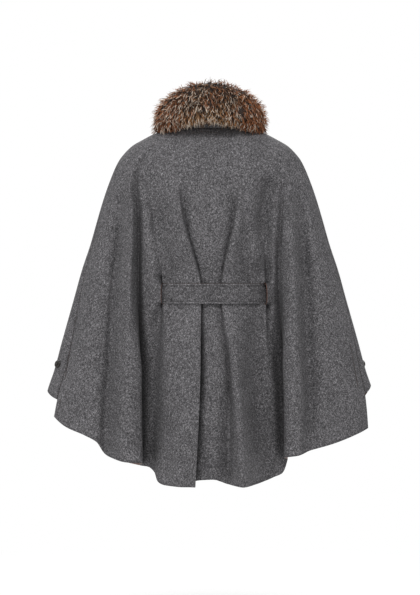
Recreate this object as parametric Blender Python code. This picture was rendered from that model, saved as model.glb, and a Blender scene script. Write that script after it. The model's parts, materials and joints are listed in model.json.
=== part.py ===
"""A wool cape coat, as one closed solid for each piece that is cut and sewn on.

Frame: metres, +Z up. The origin is the middle of the neck opening, at the height of the back neck seam.
The front faces -Y, the back faces +Y, and +X is the wearer's left. The coat hangs as if worn.

Every cloth piece lies on one cape surface. RINGS gives its level outlines, from the neck to the hem, and
a table of fold lines for each panel gives the ridges, hollows and pleat edges that run down it.
"""
import math
from bisect import bisect_right
from collections import namedtuple

import bmesh
import bpy
from mathutils import Vector

# Cloth and seams
WOOL_WALL = 0.0025          # thickness of the brushed wool with its lining
BELT_WALL = 0.0034          # two layers of wool
SEAM_GAP = 0.0004           # air between two pieces that meet
FRONT_LAP = 0.025           # how far each front runs past the middle
LAP_STEP = WOOL_WALL + 0.0008
LAP_FADE = 0.030            # how far from the lap the inner front takes to come up to the cape again

# Belt and the slits that it runs through
BELT_Z = -0.391
BELT_HEIGHT = 0.048
BELT_HALF_WIDTH = 0.156
BELT_BACK_DEPTH = 0.106
BELT_FRONT_DEPTH = 0.110
BELT_SQUARENESS = 2.2
BELT_LAP = 0.070            # the free end past the middle of the front
SLIT_HEIGHT = 0.053
SLIT_BACK_X = (0.1115, -0.1305)       # middles of the slits, which are as wide as their fold lines say
SLIT_FRONT_X = (0.112, -0.112)
BELT_SEAT = (BELT_WALL + WOOL_WALL) / 2 + SEAM_GAP
SLOPE_STEP = 0.001
PRESS_HALF_HEIGHT = 0.029   # cloth held flat above and below the belt's middle
PRESS_FADE = 0.085          # and how far past that the pull dies away
SLIT_LIP_FADE = 0.030       # how far past a slit the cloth takes to come back to its own fall

# Collar
STAND_INSET = 0.0028
STAND_BELOW = 0.004
STAND_HEIGHT = 0.028
STAND_OPEN = math.radians(9)
STAND_LAP_FROM = math.radians(112)      # from here forward the stand moves in, clear of the lap
STAND_LAP_TURN = math.radians(30)
FUR_INSIDE = -0.0011        # the inner side of the fur, from the neck edge outward
FUR_ENDS = math.radians(171)
FUR_END_ROUNDING = math.radians(15)
FUR_SEAT = WOOL_WALL + 3 * SEAM_GAP     # straight up, which clears the cloth where it slopes

# Buttons
BUTTON_DIAMETER = 0.028
VENT_BUTTON_DIAMETER = 0.018
BUTTON_THICKNESS = 0.0045
BUTTON_LIFT = WOOL_WALL / 2 + SEAM_GAP
FRONT_BUTTON_Z = (-0.120, -0.215, -0.310, -0.495)
VENT_BUTTON_Z = -0.560

# Grid of a cloth panel
UPPER_ROWS = (0.006, 0.000, -0.012, -0.027, -0.043, -0.060, -0.085, -0.121, -0.170, -0.220, -0.270, -0.315,
              -0.342, BELT_Z + SLIT_HEIGHT / 2, BELT_Z, BELT_Z - SLIT_HEIGHT / 2)
SLIT_ROWS = (len(UPPER_ROWS) - 3, len(UPPER_ROWS) - 1)
LOWER_ROWS = (0.11, 0.27, 0.45, 0.64, 0.83, 1.0)      # shares of the way from the belt to the hem
COLUMNS_PER_FOLD = 2

Ring = namedtuple("Ring", "side_z half_width back_z back_depth front_z front_depth squareness")
RINGS = (
    Ring(0.006, 0.072, 0.000, 0.058, -0.058, 0.064, 2.00),      # neck edge
    Ring(0.001, 0.100, -0.011, 0.068, -0.073, 0.074, 2.00),
    Ring(-0.008, 0.131, -0.026, 0.079, -0.088, 0.084, 1.95),
    Ring(-0.022, 0.159, -0.045, 0.090, -0.104, 0.093, 1.90),
    Ring(-0.037, 0.185, -0.067, 0.099, -0.120, 0.100, 1.86),
    Ring(-0.054, 0.203, -0.090, 0.106, -0.137, 0.106, 1.84),    # point of the shoulder
    Ring(-0.072, 0.217, -0.111, 0.111, -0.152, 0.110, 1.82),
    Ring(-0.121, 0.239, -0.148, 0.117, -0.178, 0.117, 1.76),
    Ring(-0.170, 0.256, -0.184, 0.120, -0.202, 0.122, 1.70),
    Ring(-0.214, 0.269, -0.219, 0.121, -0.228, 0.124, 1.66),
    Ring(-0.274, 0.286, -0.274, 0.119, -0.274, 0.123, 1.62),    # level from here down
    Ring(-0.334, 0.306, -0.334, 0.116, -0.334, 0.120, 1.60),
    Ring(-0.406, 0.326, -0.406, 0.114, -0.406, 0.119, 1.60),    # waist
    Ring(-0.502, 0.353, -0.502, 0.117, -0.502, 0.122, 1.60),
    Ring(-0.576, 0.373, -0.576, 0.121, -0.576, 0.127, 1.60),
    Ring(-0.624, 0.389, -0.624, 0.124, -0.624, 0.130, 1.60),    # front corner of the wing
    Ring(-0.711, 0.407, -0.711, 0.129, -0.711, 0.135, 1.60),    # back corner of the wing
    Ring(-0.860, 0.430, -0.860, 0.137, -0.860, 0.142, 1.60),
)

# Where the side seam runs, as a share of the half width: 1 is on the outline, and less lies on the back.
SeamPoint = namedtuple("SeamPoint", "side_z left right")
SIDE_SEAM = (
    SeamPoint(0.006, 0.990, 0.990),
    SeamPoint(-0.170, 0.990, 0.990),
    SeamPoint(-0.274, 0.978, 0.988),
    SeamPoint(-0.406, 0.954, 0.988),
    SeamPoint(-0.514, 0.930, 0.972),
    SeamPoint(-0.640, 0.924, 0.944),
    SeamPoint(-0.711, 0.924, 0.926),
)

# Fold lines. x and out (the height of the fold over the plain cape) are given at five levels down the
# line: shoulder, chest, belt, skirt and hem. hem_z is where the line ends.
FOLD_LEVELS = (-0.072, -0.200, -0.391, -0.600)
Fold = namedtuple("Fold", "name x out hem_z")
BACK_FOLDS = (
    Fold("left wing corner", (.211, .254, .294, .328, .341), (0, .004, .008, .010, .008), -.707),
    Fold("left wing crest", (.206, .236, .264, .292, .298), (0, .005, .010, .012, .012), -.724),
    Fold("left wing step", (.200, .223, .244, .260, .266), (0, .001, .003, .004, .003), -.742),
    Fold("left wing hollow", (.195, .212, .229, .240, .246), (0, -.003, -.007, -.012, -.014), -.771),
    Fold("left wing rise", (.188, .198, .209, .218, .224), (0, .004, .006, .003, .000), -.780),
    Fold("left ridge", (.180, .185, .190, .197, .199), (.003, .012, .017, .018, .015), -.786),
    Fold("left wing fold", (.172, .176, .179, .161, .158), (-.001, -.001, -.003, -.006, -.007), -.790),
    Fold("left trough", (.165, .168, .169, .168, .166), (-.005, -.011, -.025, -.044, -.048), -.797),
    Fold("left trough inner", (.157, .156, .157, .151, .147), (0, -.001, -.014, -.036, -.040), -.800),
    Fold("left body edge", (.146, .144, .142, .138, .130), (0, .000, -.013, -.028, -.031), -.813),
    Fold("left slit outside", (.138, .132, .1155, .124, .121), (0, -.005, -.014, -.021, -.022), -.834),
    Fold("left slit inside", (.112, .110, .1075, .104, .102), (0, -.003, -.001, -.007, -.007), -.841),
    Fold("left body ridge", (.084, .080, .064, .056, .060), (0, .004, .001, .011, .014), -.842),
    Fold("pleat left lip", (.072, .067, .0235, .024, .035), (0, .006, .002, .010, .010), -.843),
    Fold("pleat left root", (.066, .060, .0195, .026, .038), (0, -.003, -.008, -.013, -.024), -.832),
    Fold("pleat floor left", (.052, .044, .010, .010, .016), (0, .000, -.004, .000, -.020), -.828),
    Fold("pleat floor middle", (.005, .003, -.004, -.010, -.008), (0, .004, -.002, .003, -.018), -.827),
    Fold("pleat floor right", (-.042, -.038, -.017, -.030, -.025), (0, .001, -.004, -.001, -.022), -.832),
    Fold("pleat right root", (-.060, -.055, -.025, -.045, -.041), (0, -.005, -.007, -.007, -.022), -.838),
    Fold("pleat right lip", (-.068, -.063, -.030, -.054, -.058), (0, .004, .000, .003, -.006), -.841),
    Fold("right body ridge", (-.082, -.079, -.058, -.066, -.078), (0, .001, .000, .006, .013), -.843),
    Fold("right body hollow", (-.104, -.100, -.095, -.098, -.109), (0, -.004, -.001, -.018, -.016), -.839),
    Fold("right slit inside", (-.126, -.122, -.1265, -.132, -.137), (0, -.009, .000, -.024, -.030), -.831),
    Fold("right slit outside", (-.140, -.136, -.1345, -.146, -.153), (0, -.007, -.014, -.030, -.036), -.824),
    Fold("right body edge", (-.152, -.152, -.151, -.165, -.172), (0, .000, -.022, -.045, -.047), -.815),
    Fold("right trough", (-.162, -.167, -.163, -.181, -.183), (-.003, -.008, -.030, -.046, -.044), -.784),
    Fold("right wing fold", (-.169, -.176, -.176, -.173, -.174), (0, .001, -.006, -.007, -.008), -.777),
    Fold("right ridge", (-.177, -.192, -.198, -.207, -.207), (.003, .010, .016, .018, .014), -.771),
    Fold("right wing hollow", (-.193, -.215, -.226, -.234, -.234), (0, -.003, -.007, -.010, -.002), -.761),
    Fold("right wing crest", (-.203, -.234, -.258, -.280, -.287), (0, .005, .010, .013, .011), -.746),
    Fold("right wing corner", (-.211, -.252, -.296, -.336, -.346), (0, .004, .008, .010, .008), -.725),
)
LEFT_BACK_CORNER_Z = -0.684
RIGHT_BACK_CORNER_Z = -0.711

# The front folds are the left front's, with x in from the side. The right front has its own hem.
FrontFold = namedtuple("FrontFold", "name x out left_hem_z right_hem_z")
FRONT_FOLDS = (
    FrontFold("wing edge", (.215, .260, .312, .362, .378), (0, 0, 0, .001, .001), -.634, -.630),
    FrontFold("wing corner", (.211, .248, .288, .328, .344), (0, .001, .003, .004, .004), -.664, -.680),
    FrontFold("wing crest", (.205, .230, .262, .292, .303), (0, .004, .008, .010, .010), -.702, -.716),
    FrontFold("wing hollow", (.197, .209, .228, .248, .256), (0, .000, -.006, -.012, -.014), -.748, -.744),
    FrontFold("ridge", (.189, .190, .194, .204, .208), (.002, .008, .014, .016, .014), -.805, -.766),
    FrontFold("trough", (.178, .173, .170, .166, .164), (-.003, -.012, -.026, -.040, -.044), -.809, -.780),
    FrontFold("trough inner", (.165, .159, .153, .147, .143), (0, .000, -.010, -.022, -.026), -.806, -.798),
    FrontFold("body edge", (.148, .142, .137, .134, .130), (0, .002, .002, -.002, -.004), -.814, -.812),
    FrontFold("slit outside", (.128, .124, .1160, .116, .116), (0, .002, .002, .002, .002), -.824, -.824),
    FrontFold("slit inside", (.108, .108, .1080, .100, .100), (0, .003, .002, .000, -.002), -.830, -.830),
    FrontFold("body fold", (.080, .080, .074, .070, .072), (0, .005, .001, .008, .011), -.834, -.834),
    FrontFold("body hollow", (.052, .052, .050, .048, .048), (0, .002, .001, -.003, -.005), -.836, -.836),
    FrontFold("placket", (.027, .027, .027, .027, .027), (0, 0, .001, .001, .001), -.837, -.837),
    FrontFold("middle", (.000, .000, .000, .000, .000), (0, 0, .001, .001, .001), -.837, -.837),
    FrontFold("front edge", (-FRONT_LAP,) * 5, (0, 0, .001, .001, .001), -.837, -.837),
)
LEFT_FRONT_CORNER_Z = (-0.643, -0.624)      # at the side seam, and on the outline
RIGHT_FRONT_CORNER_Z = (-0.629, -0.611)

# Outline of the fur all round the neck, to the tips of the hair. angle 0 is the middle of the back.
FurSection = namedtuple("FurSection", "degrees half_out middle_z half_height")
FUR_SECTIONS = (
    FurSection(0, 0.034, 0.065, 0.052),
    FurSection(35, 0.0345, 0.057, 0.049),
    FurSection(62, 0.034, 0.041, 0.045),
    FurSection(90, 0.0335, 0.020, 0.042),
    FurSection(118, 0.032, -0.008, 0.040),
    FurSection(145, 0.030, -0.034, 0.040),
    FurSection(171, 0.027, -0.053, 0.042),
)
FUR_SEGMENTS = 46
FUR_SIDES = 12

WOOL = ("charcoal_wool", (0.084, 0.081, 0.086, 1.0), 0.9, 0.0)
FUR = ("brown_fur", (0.130, 0.075, 0.050, 1.0), 0.85, 0.0)
HORN = ("dark_horn", (0.020, 0.016, 0.014, 1.0), 0.35, 0.0)


class Curve:
    """A smooth curve through a few points that never overshoots them, and is level past its ends."""

    def __init__(self, keys, values):
        pairs = sorted(zip(keys, values))
        self.keys = [key for key, _ in pairs]
        self.values = [value for _, value in pairs]
        spans = [b - a for a, b in zip(self.keys, self.keys[1:])]
        rises = [(b - a) / span for a, b, span in zip(self.values, self.values[1:], spans)]
        self.slopes = [rises[0]] + [self.middle_slope(*four) for four in
                                    zip(rises, rises[1:], spans, spans[1:])] + [rises[-1]]

    @staticmethod
    def middle_slope(before, after, span_before, span_after):
        if before * after <= 0:
            return 0.0
        weight_before = 2 * span_after + span_before
        weight_after = span_after + 2 * span_before
        return (weight_before + weight_after) / (weight_before / before + weight_after / after)

    def __call__(self, key):
        key = min(max(key, self.keys[0]), self.keys[-1])
        i = min(max(bisect_right(self.keys, key) - 1, 0), len(self.keys) - 2)
        span = self.keys[i + 1] - self.keys[i]
        t = (key - self.keys[i]) / span
        low, high = self.values[i], self.values[i + 1]
        bend_low, bend_high = self.slopes[i] * span, self.slopes[i + 1] * span
        return (low * (1 + 2 * t) * (1 - t) ** 2 + bend_low * t * (1 - t) ** 2
                + high * t * t * (3 - 2 * t) + bend_high * t * t * (t - 1))


def table_curve(rows, key, column):
    return Curve([getattr(row, key) for row in rows], [getattr(row, column) for row in rows])


RING_CURVES = {column: table_curve(RINGS, "side_z", column) for column in Ring._fields[1:]}
SEAM_CURVES = {1: table_curve(SIDE_SEAM, "side_z", "left"), -1: table_curve(SIDE_SEAM, "side_z", "right")}
FUR_CURVES = {column: table_curve(FUR_SECTIONS, "degrees", column) for column in FurSection._fields[1:]}


def ring_at(side_z):
    return Ring(side_z, *(RING_CURVES[column](side_z) for column in Ring._fields[1:]))


def signed_power(value, power):
    return math.copysign(abs(value) ** power, value)


def smooth_step(t):
    t = min(max(t, 0.0), 1.0)
    return t * t * (3 - 2 * t)


def cape_point(angle, side_z):
    """The plain cape: angle 0 is the middle of the back, 90 degrees the wearer's left side."""
    ring = ring_at(side_z)
    sine, cosine = math.sin(angle), math.cos(angle)
    power = 2 / ring.squareness
    depth = ring.back_depth if cosine >= 0 else ring.front_depth
    level = ring.back_z if cosine >= 0 else ring.front_z
    return Vector((ring.half_width * signed_power(sine, power), depth * signed_power(cosine, power),
                   level + (side_z - level) * sine * sine))


def share_angle(share, side_z):
    """The angle from the middle of the back, or of the front, to a share of the half width."""
    bend = ring_at(side_z).squareness / 2
    return math.copysign(math.asin(min(abs(share), 1.0) ** bend), share)


def cape_height(x, y):
    """The height of the plain cape over a point on the floor plan, outside the neck."""
    high, low = RINGS[0].side_z, RINGS[-1].side_z
    for _ in range(20):
        middle = (high + low) / 2
        ring = ring_at(middle)
        depth = ring.back_depth if y >= 0 else ring.front_depth
        reach = (abs(x) / ring.half_width) ** ring.squareness + (abs(y) / depth) ** ring.squareness
        if reach > 1:
            high = middle
        else:
            low = middle
    ring = ring_at(high)
    level = ring.back_z if y >= 0 else ring.front_z
    sine_squared = min(1.0, (abs(x) / ring.half_width) ** ring.squareness)
    return level + (high - level) * sine_squared


def belt_depth(x, front):
    """How far the middle of the belt's wall lies behind or before the body's middle plane."""
    depth = BELT_FRONT_DEPTH if front else BELT_BACK_DEPTH
    share = min(abs(x) / BELT_HALF_WIDTH, 1.0)
    return depth * (1 - share ** BELT_SQUARENESS) ** (1 / BELT_SQUARENESS)


def over_or_under_belt(x, depth, z, fold, front):
    """Between the slits the belt presses the cloth in. Past them the cloth passes over the belt."""
    slits = SLIT_FRONT_X if front else SLIT_BACK_X
    pull = 1 - smooth_step((abs(z - BELT_Z) - PRESS_HALF_HEIGHT) / PRESS_FADE)
    past = max(x - slits[0], slits[1] - x)
    if pull <= 0 or abs(x) > BELT_HALF_WIDTH * 0.97:
        return depth
    seat = belt_depth(x, front)
    slope = (belt_depth(x + SLOPE_STEP, front) - belt_depth(x - SLOPE_STEP, front)) / (2 * SLOPE_STEP)
    clear = BELT_SEAT * math.sqrt(1 + slope * slope)
    if past <= 0:
        target = seat - clear + min(fold, 0.0)
    else:
        target = max(depth, seat + clear)
        pull *= 1 - smooth_step(past / SLIT_LIP_FADE)
    return depth + pull * (target - depth)


class FoldLine:
    """One ridge, hollow or edge that runs down a panel from the neck."""

    def __init__(self, fold, hem_z, side=1, front=False):
        heights = (RINGS[0].side_z,) + FOLD_LEVELS + (hem_z,)
        shares = [side * x / ring_at(height).half_width for x, height in zip(fold.x, heights[1:])]
        self.share = Curve(heights, shares[:1] + shares)
        self.out = Curve(heights, (0,) + fold.out)
        self.hem_z = hem_z
        self.turn = side * math.pi if front else None
        self.beside_slit = "slit" in fold.name

    def angle(self, side_z):
        angle = share_angle(self.share(side_z), side_z)
        return angle if self.turn is None else self.turn - angle


class EdgeLine:
    """The side seam of a panel, or the outline that the front folds round: no fold height of its own."""

    def __init__(self, side, hem_z, gap, on_outline=False):
        self.side = side
        self.hem_z = hem_z
        self.gap = gap
        self.on_outline = on_outline
        self.beside_slit = False

    def angle(self, side_z):
        if self.on_outline:
            return self.side * math.pi / 2
        seam = share_angle(SEAM_CURVES[self.side](side_z), side_z)
        return self.side * (seam + self.gap / ring_at(side_z).back_depth)

    def out(self, side_z):
        return 0.0


class Panel:
    """A cloth panel between its first and last line, with its hem and the belt's slits."""

    def __init__(self, lines, lap_in=0.0):
        self.lines = lines
        self.lap_in = lap_in
        self.stations = range(len(lines))
        edges = [i for i, line in enumerate(lines) if line.beside_slit]
        self.slits = list(zip(edges[::2], edges[1::2]))
        self.hem = Curve(self.stations, [line.hem_z for line in lines])

    def point(self, station, row):
        """row 0 is the neck edge, and the last row is the hem."""
        if row < len(UPPER_ROWS):
            side_z = UPPER_ROWS[row]
        else:
            share = LOWER_ROWS[row - len(UPPER_ROWS)]
            side_z = UPPER_ROWS[-1] + share * (self.hem(station) - UPPER_ROWS[-1])
        angle = Curve(self.stations, [line.angle(side_z) for line in self.lines])(station)
        fold = Curve(self.stations, [line.out(side_z) for line in self.lines])(station)
        place = cape_point(angle, side_z)
        front = math.cos(angle) < 0
        depth = over_or_under_belt(place.x, abs(place.y) + fold, place.z, fold, front)
        place.y = -depth if front else depth
        if self.lap_in:
            under = self.lap_in * (1 - smooth_step((abs(place.x) - FRONT_LAP) / LAP_FADE))
            down = cape_point(math.pi, side_z - SLOPE_STEP) - cape_point(math.pi, side_z + SLOPE_STEP)
            place += under * Vector((0, -down.z, down.y)).normalized()
        return place


def clear_scene():
    for thing in list(bpy.data.objects):
        bpy.data.objects.remove(thing, do_unlink=True)


def finish_material(name, colour, roughness, metallic):
    material = bpy.data.materials.get(name) or bpy.data.materials.new(name)
    material.use_nodes = True
    shader = material.node_tree.nodes["Principled BSDF"]
    shader.inputs["Base Color"].default_value = colour
    shader.inputs["Roughness"].default_value = roughness
    shader.inputs["Metallic"].default_value = metallic
    return material


def add_object(name, mesh_maker, finish):
    mesh = bpy.data.meshes.new(name)
    mesh_maker.to_mesh(mesh)
    mesh_maker.free()
    mesh.shade_smooth()
    mesh.set_sharp_from_angle(angle=math.radians(50))
    thing = bpy.data.objects.new(name, mesh)
    bpy.context.scene.collection.objects.link(thing)
    if finish:
        mesh.materials.append(finish_material(*finish))
    return thing


def placed_grid(columns, rows, place, closed=False, in_hole=None):
    """A grid whose points are put where place(column, row) says. closed makes it a tube."""
    grid = bmesh.new()
    bmesh.ops.create_grid(grid, x_segments=columns, y_segments=rows, size=1.0)
    if in_hole:
        cells = [(face, face.calc_center_median()) for face in grid.faces]
        gone = [face for face, middle in cells
                if in_hole((middle.x + 1) / 2 * columns, (middle.y + 1) / 2 * rows)]
        bmesh.ops.delete(grid, geom=gone, context="FACES")
    for point in grid.verts:
        column = round((point.co.x + 1) / 2 * columns)
        row = round((point.co.y + 1) / 2 * rows)
        point.co = place(column % columns if closed else column, row)
    if closed:
        bmesh.ops.remove_doubles(grid, verts=grid.verts, dist=1e-6)
    bmesh.ops.recalc_face_normals(grid, faces=grid.faces)
    return grid


def give_wall(thing, thickness):
    wall = thing.modifiers.new("Wall", "SOLIDIFY")
    wall.thickness = thickness
    wall.offset = 0.0
    return wall


def panel_object(name, panel):
    def in_slit(column, row):
        station = column / COLUMNS_PER_FOLD
        return SLIT_ROWS[0] < row < SLIT_ROWS[1] and any(low < station < high for low, high in panel.slits)

    columns = (len(panel.lines) - 1) * COLUMNS_PER_FOLD
    rows = len(UPPER_ROWS) + len(LOWER_ROWS) - 1
    grid = placed_grid(columns, rows, lambda column, row: panel.point(column / COLUMNS_PER_FOLD, row),
                       in_hole=in_slit)
    give_wall(add_object(name, grid, WOOL), WOOL_WALL)


def back_panel():
    lines = [EdgeLine(1, LEFT_BACK_CORNER_Z, -SEAM_GAP)]
    lines += [FoldLine(fold, fold.hem_z) for fold in BACK_FOLDS]
    lines += [EdgeLine(-1, RIGHT_BACK_CORNER_Z, -SEAM_GAP)]
    panel_object("back_panel", Panel(lines))


def front_panel(name, side, corner_z, lap_in=0.0):
    """One front with its wing, from the side seam round the outline to the lap. Returns its panel."""
    lines = [EdgeLine(side, corner_z[0], SEAM_GAP), EdgeLine(side, corner_z[1], SEAM_GAP, on_outline=True)]
    for fold in FRONT_FOLDS:
        hem_z = fold.left_hem_z if side > 0 else fold.right_hem_z
        lines.append(FoldLine(fold, hem_z, side, front=True))
    panel = Panel(lines, lap_in)
    panel_object(name, panel)
    return panel


def neck_outline(angle, inset):
    """A point of the neck edge, moved in, and the direction straight out from it."""
    edge = cape_point(angle, RINGS[0].side_z)
    half_width = RINGS[0].half_width
    depth = RINGS[0].back_depth if edge.y >= 0 else RINGS[0].front_depth
    outward = Vector((edge.x / half_width ** 2, edge.y / depth ** 2, 0)).normalized()
    return edge - outward * inset, outward


def collar_stand():
    segments = 40

    def place(column, row):
        angle = (column / segments * 2 - 1) * (math.pi - STAND_OPEN)
        in_lap = smooth_step((abs(angle) - STAND_LAP_FROM) / STAND_LAP_TURN)
        point, _ = neck_outline(angle, STAND_INSET + in_lap * LAP_STEP)
        point.z += STAND_HEIGHT * row / 2 - STAND_BELOW
        return point

    give_wall(add_object("collar_stand", placed_grid(segments, 2, place), WOOL), WOOL_WALL)


def fur_collar():
    def place(column, row):
        angle = (row / FUR_SEGMENTS * 2 - 1) * FUR_ENDS
        degrees = abs(math.degrees(angle))
        past = (abs(angle) - (FUR_ENDS - FUR_END_ROUNDING)) / FUR_END_ROUNDING
        size = math.sqrt(max(0.0, 1 - max(0.0, past) ** 2))
        half_out = FUR_CURVES["half_out"](degrees)
        start, outward = neck_outline(angle, 0.0)
        turn = 2 * math.pi * column / FUR_SIDES
        reach = FUR_INSIDE + half_out * (1 + size * math.cos(turn))
        point = start + outward * reach
        point.z = FUR_CURVES["middle_z"](degrees) + size * FUR_CURVES["half_height"](degrees) * math.sin(turn)
        point.z = max(point.z, cape_height(point.x, point.y) + FUR_SEAT)
        return point

    add_object("collar_fur", placed_grid(FUR_SIDES, FUR_SEGMENTS, place, closed=True), FUR)


def belt_point(angle, out):
    sine, cosine = math.sin(angle), math.cos(angle)
    power = 2 / BELT_SQUARENESS
    depth = BELT_BACK_DEPTH if cosine >= 0 else BELT_FRONT_DEPTH
    middle = Vector((BELT_HALF_WIDTH * signed_power(sine, power), depth * signed_power(cosine, power), 0))
    outward = Vector((signed_power(middle.x / BELT_HALF_WIDTH, BELT_SQUARENESS - 1) / BELT_HALF_WIDTH,
                      signed_power(middle.y / depth, BELT_SQUARENESS - 1) / depth, 0)).normalized()
    return middle + outward * out


def belt():
    segments = 64
    lap_angle = BELT_LAP / 2 / BELT_FRONT_DEPTH

    def place(column, row):
        share = column / segments
        angle = -math.pi - lap_angle * 0.5 + share * (2 * math.pi + lap_angle * 1.5)
        over = smooth_step((share - 0.80) / 0.12)
        point = belt_point(angle, over * (BELT_WALL + SEAM_GAP))
        point.z = BELT_Z + (row / 2 - 0.5) * BELT_HEIGHT
        return point

    give_wall(add_object("belt", placed_grid(segments, 2, place), WOOL), BELT_WALL)


def button(name, diameter, place, outward):
    """A turned button with a raised rim. place is the middle of its back."""
    radius = diameter / 2
    profile = ((0.0, 0.0), (radius * 0.80, 0.0), (radius, BUTTON_THICKNESS * 0.45),
               (radius * 0.90, BUTTON_THICKNESS), (radius * 0.70, BUTTON_THICKNESS * 0.90),
               (radius * 0.58, BUTTON_THICKNESS * 0.55), (0.0, BUTTON_THICKNESS * 0.50))
    turned = bmesh.new()
    points = [turned.verts.new((x, 0.0, z)) for x, z in profile]
    for first, second in zip(points, points[1:]):
        turned.edges.new((first, second))
    bmesh.ops.spin(turned, geom=turned.verts[:] + turned.edges[:], cent=(0, 0, 0), axis=(0, 0, 1),
                   angle=2 * math.pi, steps=16, use_merge=True)
    bmesh.ops.remove_doubles(turned, verts=turned.verts, dist=1e-6)
    bmesh.ops.recalc_face_normals(turned, faces=turned.faces)
    thing = add_object(name, turned, HORN)
    thing.location = place
    thing.rotation_euler = outward.to_track_quat("Z", "Y").to_euler()
    return thing


def on_panel(panel, station, z):
    """A point of a panel's column at a height, and the direction straight out of it."""
    column = [panel.point(station, row) for row in range(len(UPPER_ROWS) + len(LOWER_ROWS))]
    above = max(row for row, point in enumerate(column[:-1]) if point.z >= z)
    down = column[above + 1] - column[above]
    place = column[above] + down * ((z - column[above].z) / down.z)
    half_column = 1 / COLUMNS_PER_FOLD
    across = panel.point(station + half_column, above) - panel.point(station - half_column, above)
    outward = across.cross(down).normalized()
    if outward.dot(Vector((place.x, place.y, 0))) < 0:
        outward.negate()
    return place, outward


def main():
    clear_scene()
    back_panel()
    front_left = front_panel("front_left", 1, LEFT_FRONT_CORNER_Z, lap_in=LAP_STEP)
    front_right = front_panel("front_right", -1, RIGHT_FRONT_CORNER_Z)
    collar_stand()
    fur_collar()
    belt()
    middle = len(front_right.lines) - 2
    for number, z in enumerate(FRONT_BUTTON_Z, 1):
        place, outward = on_panel(front_right, middle, z)
        button(f"button_front_{number}", BUTTON_DIAMETER, place + outward * BUTTON_LIFT, outward)
    place = belt_point(math.pi, BELT_WALL * 1.5 + SEAM_GAP * 2)
    place.z = BELT_Z
    button("button_belt", BUTTON_DIAMETER, place, Vector((0, -1, 0)))
    for name, panel, station in (("left", front_left, 0.5), ("right", front_right, 1.5)):
        place, outward = on_panel(panel, station, VENT_BUTTON_Z)
        button(f"button_vent_{name}", VENT_BUTTON_DIAMETER, place + outward * BUTTON_LIFT, outward)


main()
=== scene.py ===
"""The looks of a wool cape coat with a fur collar, laid out as an add-on and run as a script.

Frame: metres, +Z up, origin in the middle of the neck opening. The back faces +Y, the front faces -Y, and
+X is the wearer's left. The back and the fronts lie on one cape surface, given by RINGS and the fold tables.
"""
import json
import math
from bisect import bisect_right
from collections import namedtuple

import bmesh
import bpy
from bpy.props import FloatProperty, FloatVectorProperty, PointerProperty
from mathutils import Matrix, Vector, noise

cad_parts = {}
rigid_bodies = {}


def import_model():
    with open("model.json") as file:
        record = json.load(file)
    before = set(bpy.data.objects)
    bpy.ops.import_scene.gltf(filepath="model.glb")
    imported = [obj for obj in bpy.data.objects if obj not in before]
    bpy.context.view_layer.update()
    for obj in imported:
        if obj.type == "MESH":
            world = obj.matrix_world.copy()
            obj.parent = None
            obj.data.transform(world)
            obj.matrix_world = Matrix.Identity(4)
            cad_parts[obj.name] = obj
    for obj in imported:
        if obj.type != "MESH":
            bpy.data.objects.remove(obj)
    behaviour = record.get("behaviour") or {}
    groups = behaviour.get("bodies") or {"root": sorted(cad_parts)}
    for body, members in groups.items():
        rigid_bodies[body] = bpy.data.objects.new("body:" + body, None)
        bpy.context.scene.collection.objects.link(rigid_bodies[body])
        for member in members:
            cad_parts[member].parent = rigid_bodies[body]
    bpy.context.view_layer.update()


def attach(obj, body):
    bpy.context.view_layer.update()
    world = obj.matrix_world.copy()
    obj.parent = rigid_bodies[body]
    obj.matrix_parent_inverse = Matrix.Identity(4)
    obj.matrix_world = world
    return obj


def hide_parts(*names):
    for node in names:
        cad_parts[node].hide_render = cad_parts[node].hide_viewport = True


bl_info = {
    "name": "Wool Cape Coat",
    "version": (1, 0, 0),
    "blender": (4, 5, 0),
    "location": "View3D > Sidebar > Cape Coat",
    "description": "Makes the cloth, fur, belt, buttons and stage of a belted wool cape coat",
    "category": "Add Mesh",
}

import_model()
BODY = "root"

# Cloth and seams
WOOL_WALL = 0.0025          # thickness of the brushed wool with its lining
BELT_WALL = 0.0034          # two layers of wool
SEAM_GAP = 0.0004           # air between two pieces that meet
FRONT_LAP = 0.025           # how far each front runs past the middle
LAP_STEP = WOOL_WALL + 0.0008
LAP_FADE = 0.030            # how far from the lap the inner front takes to come up to the cape again

# Belt and the slits that it runs through
BELT_Z = -0.391
BELT_HEIGHT = 0.048
BELT_HALF_WIDTH = 0.156
BELT_BACK_DEPTH = 0.106
BELT_FRONT_DEPTH = 0.110
BELT_SQUARENESS = 2.2
BELT_LAP = 0.070            # the free end past the middle of the front
BELT_STARTS = 0.5           # in halves of the lap: how far past the middle of the front the belt starts,
BELT_PAST_TURN = 1.5        # and how far it runs past one full turn
BELT_OVER_FROM = 0.80       # the share of its run at which the belt starts to rise over its own end
BELT_OVER_FADE = 0.12
BELT_TURNS_AT = 0.97        # the share of its half width past which the belt turns round the side
SLIT_HEIGHT = 0.053
SLIT_BACK_X = (0.1115, -0.1305)       # middles of the slits, which are as wide as their fold lines say
SLIT_FRONT_X = (0.112, -0.112)
BELT_SEAT = (BELT_WALL + WOOL_WALL) / 2 + SEAM_GAP
SLOPE_STEP = 0.001
PRESS_HALF_HEIGHT = 0.029   # cloth held flat above and below the belt's middle
PRESS_FADE = 0.085          # and how far past that the pull dies away
SLIT_LIP_FADE = 0.030       # how far past a slit the cloth takes to come back to its own fall

# Collar
STAND_INSET = 0.0028
STAND_BELOW = 0.004
STAND_HEIGHT = 0.028
STAND_OPEN = math.radians(9)
STAND_LAP_FROM = math.radians(112)      # from here forward the stand moves in, clear of the lap
STAND_LAP_TURN = math.radians(30)
FUR_INSIDE = -0.0011        # the inner side of the fur, from the neck edge outward
FUR_ENDS = math.radians(171)
FUR_END_ROUNDING = math.radians(15)
FUR_SEAT = WOOL_WALL + 3 * SEAM_GAP     # straight up, which clears the cloth where it slopes

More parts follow.
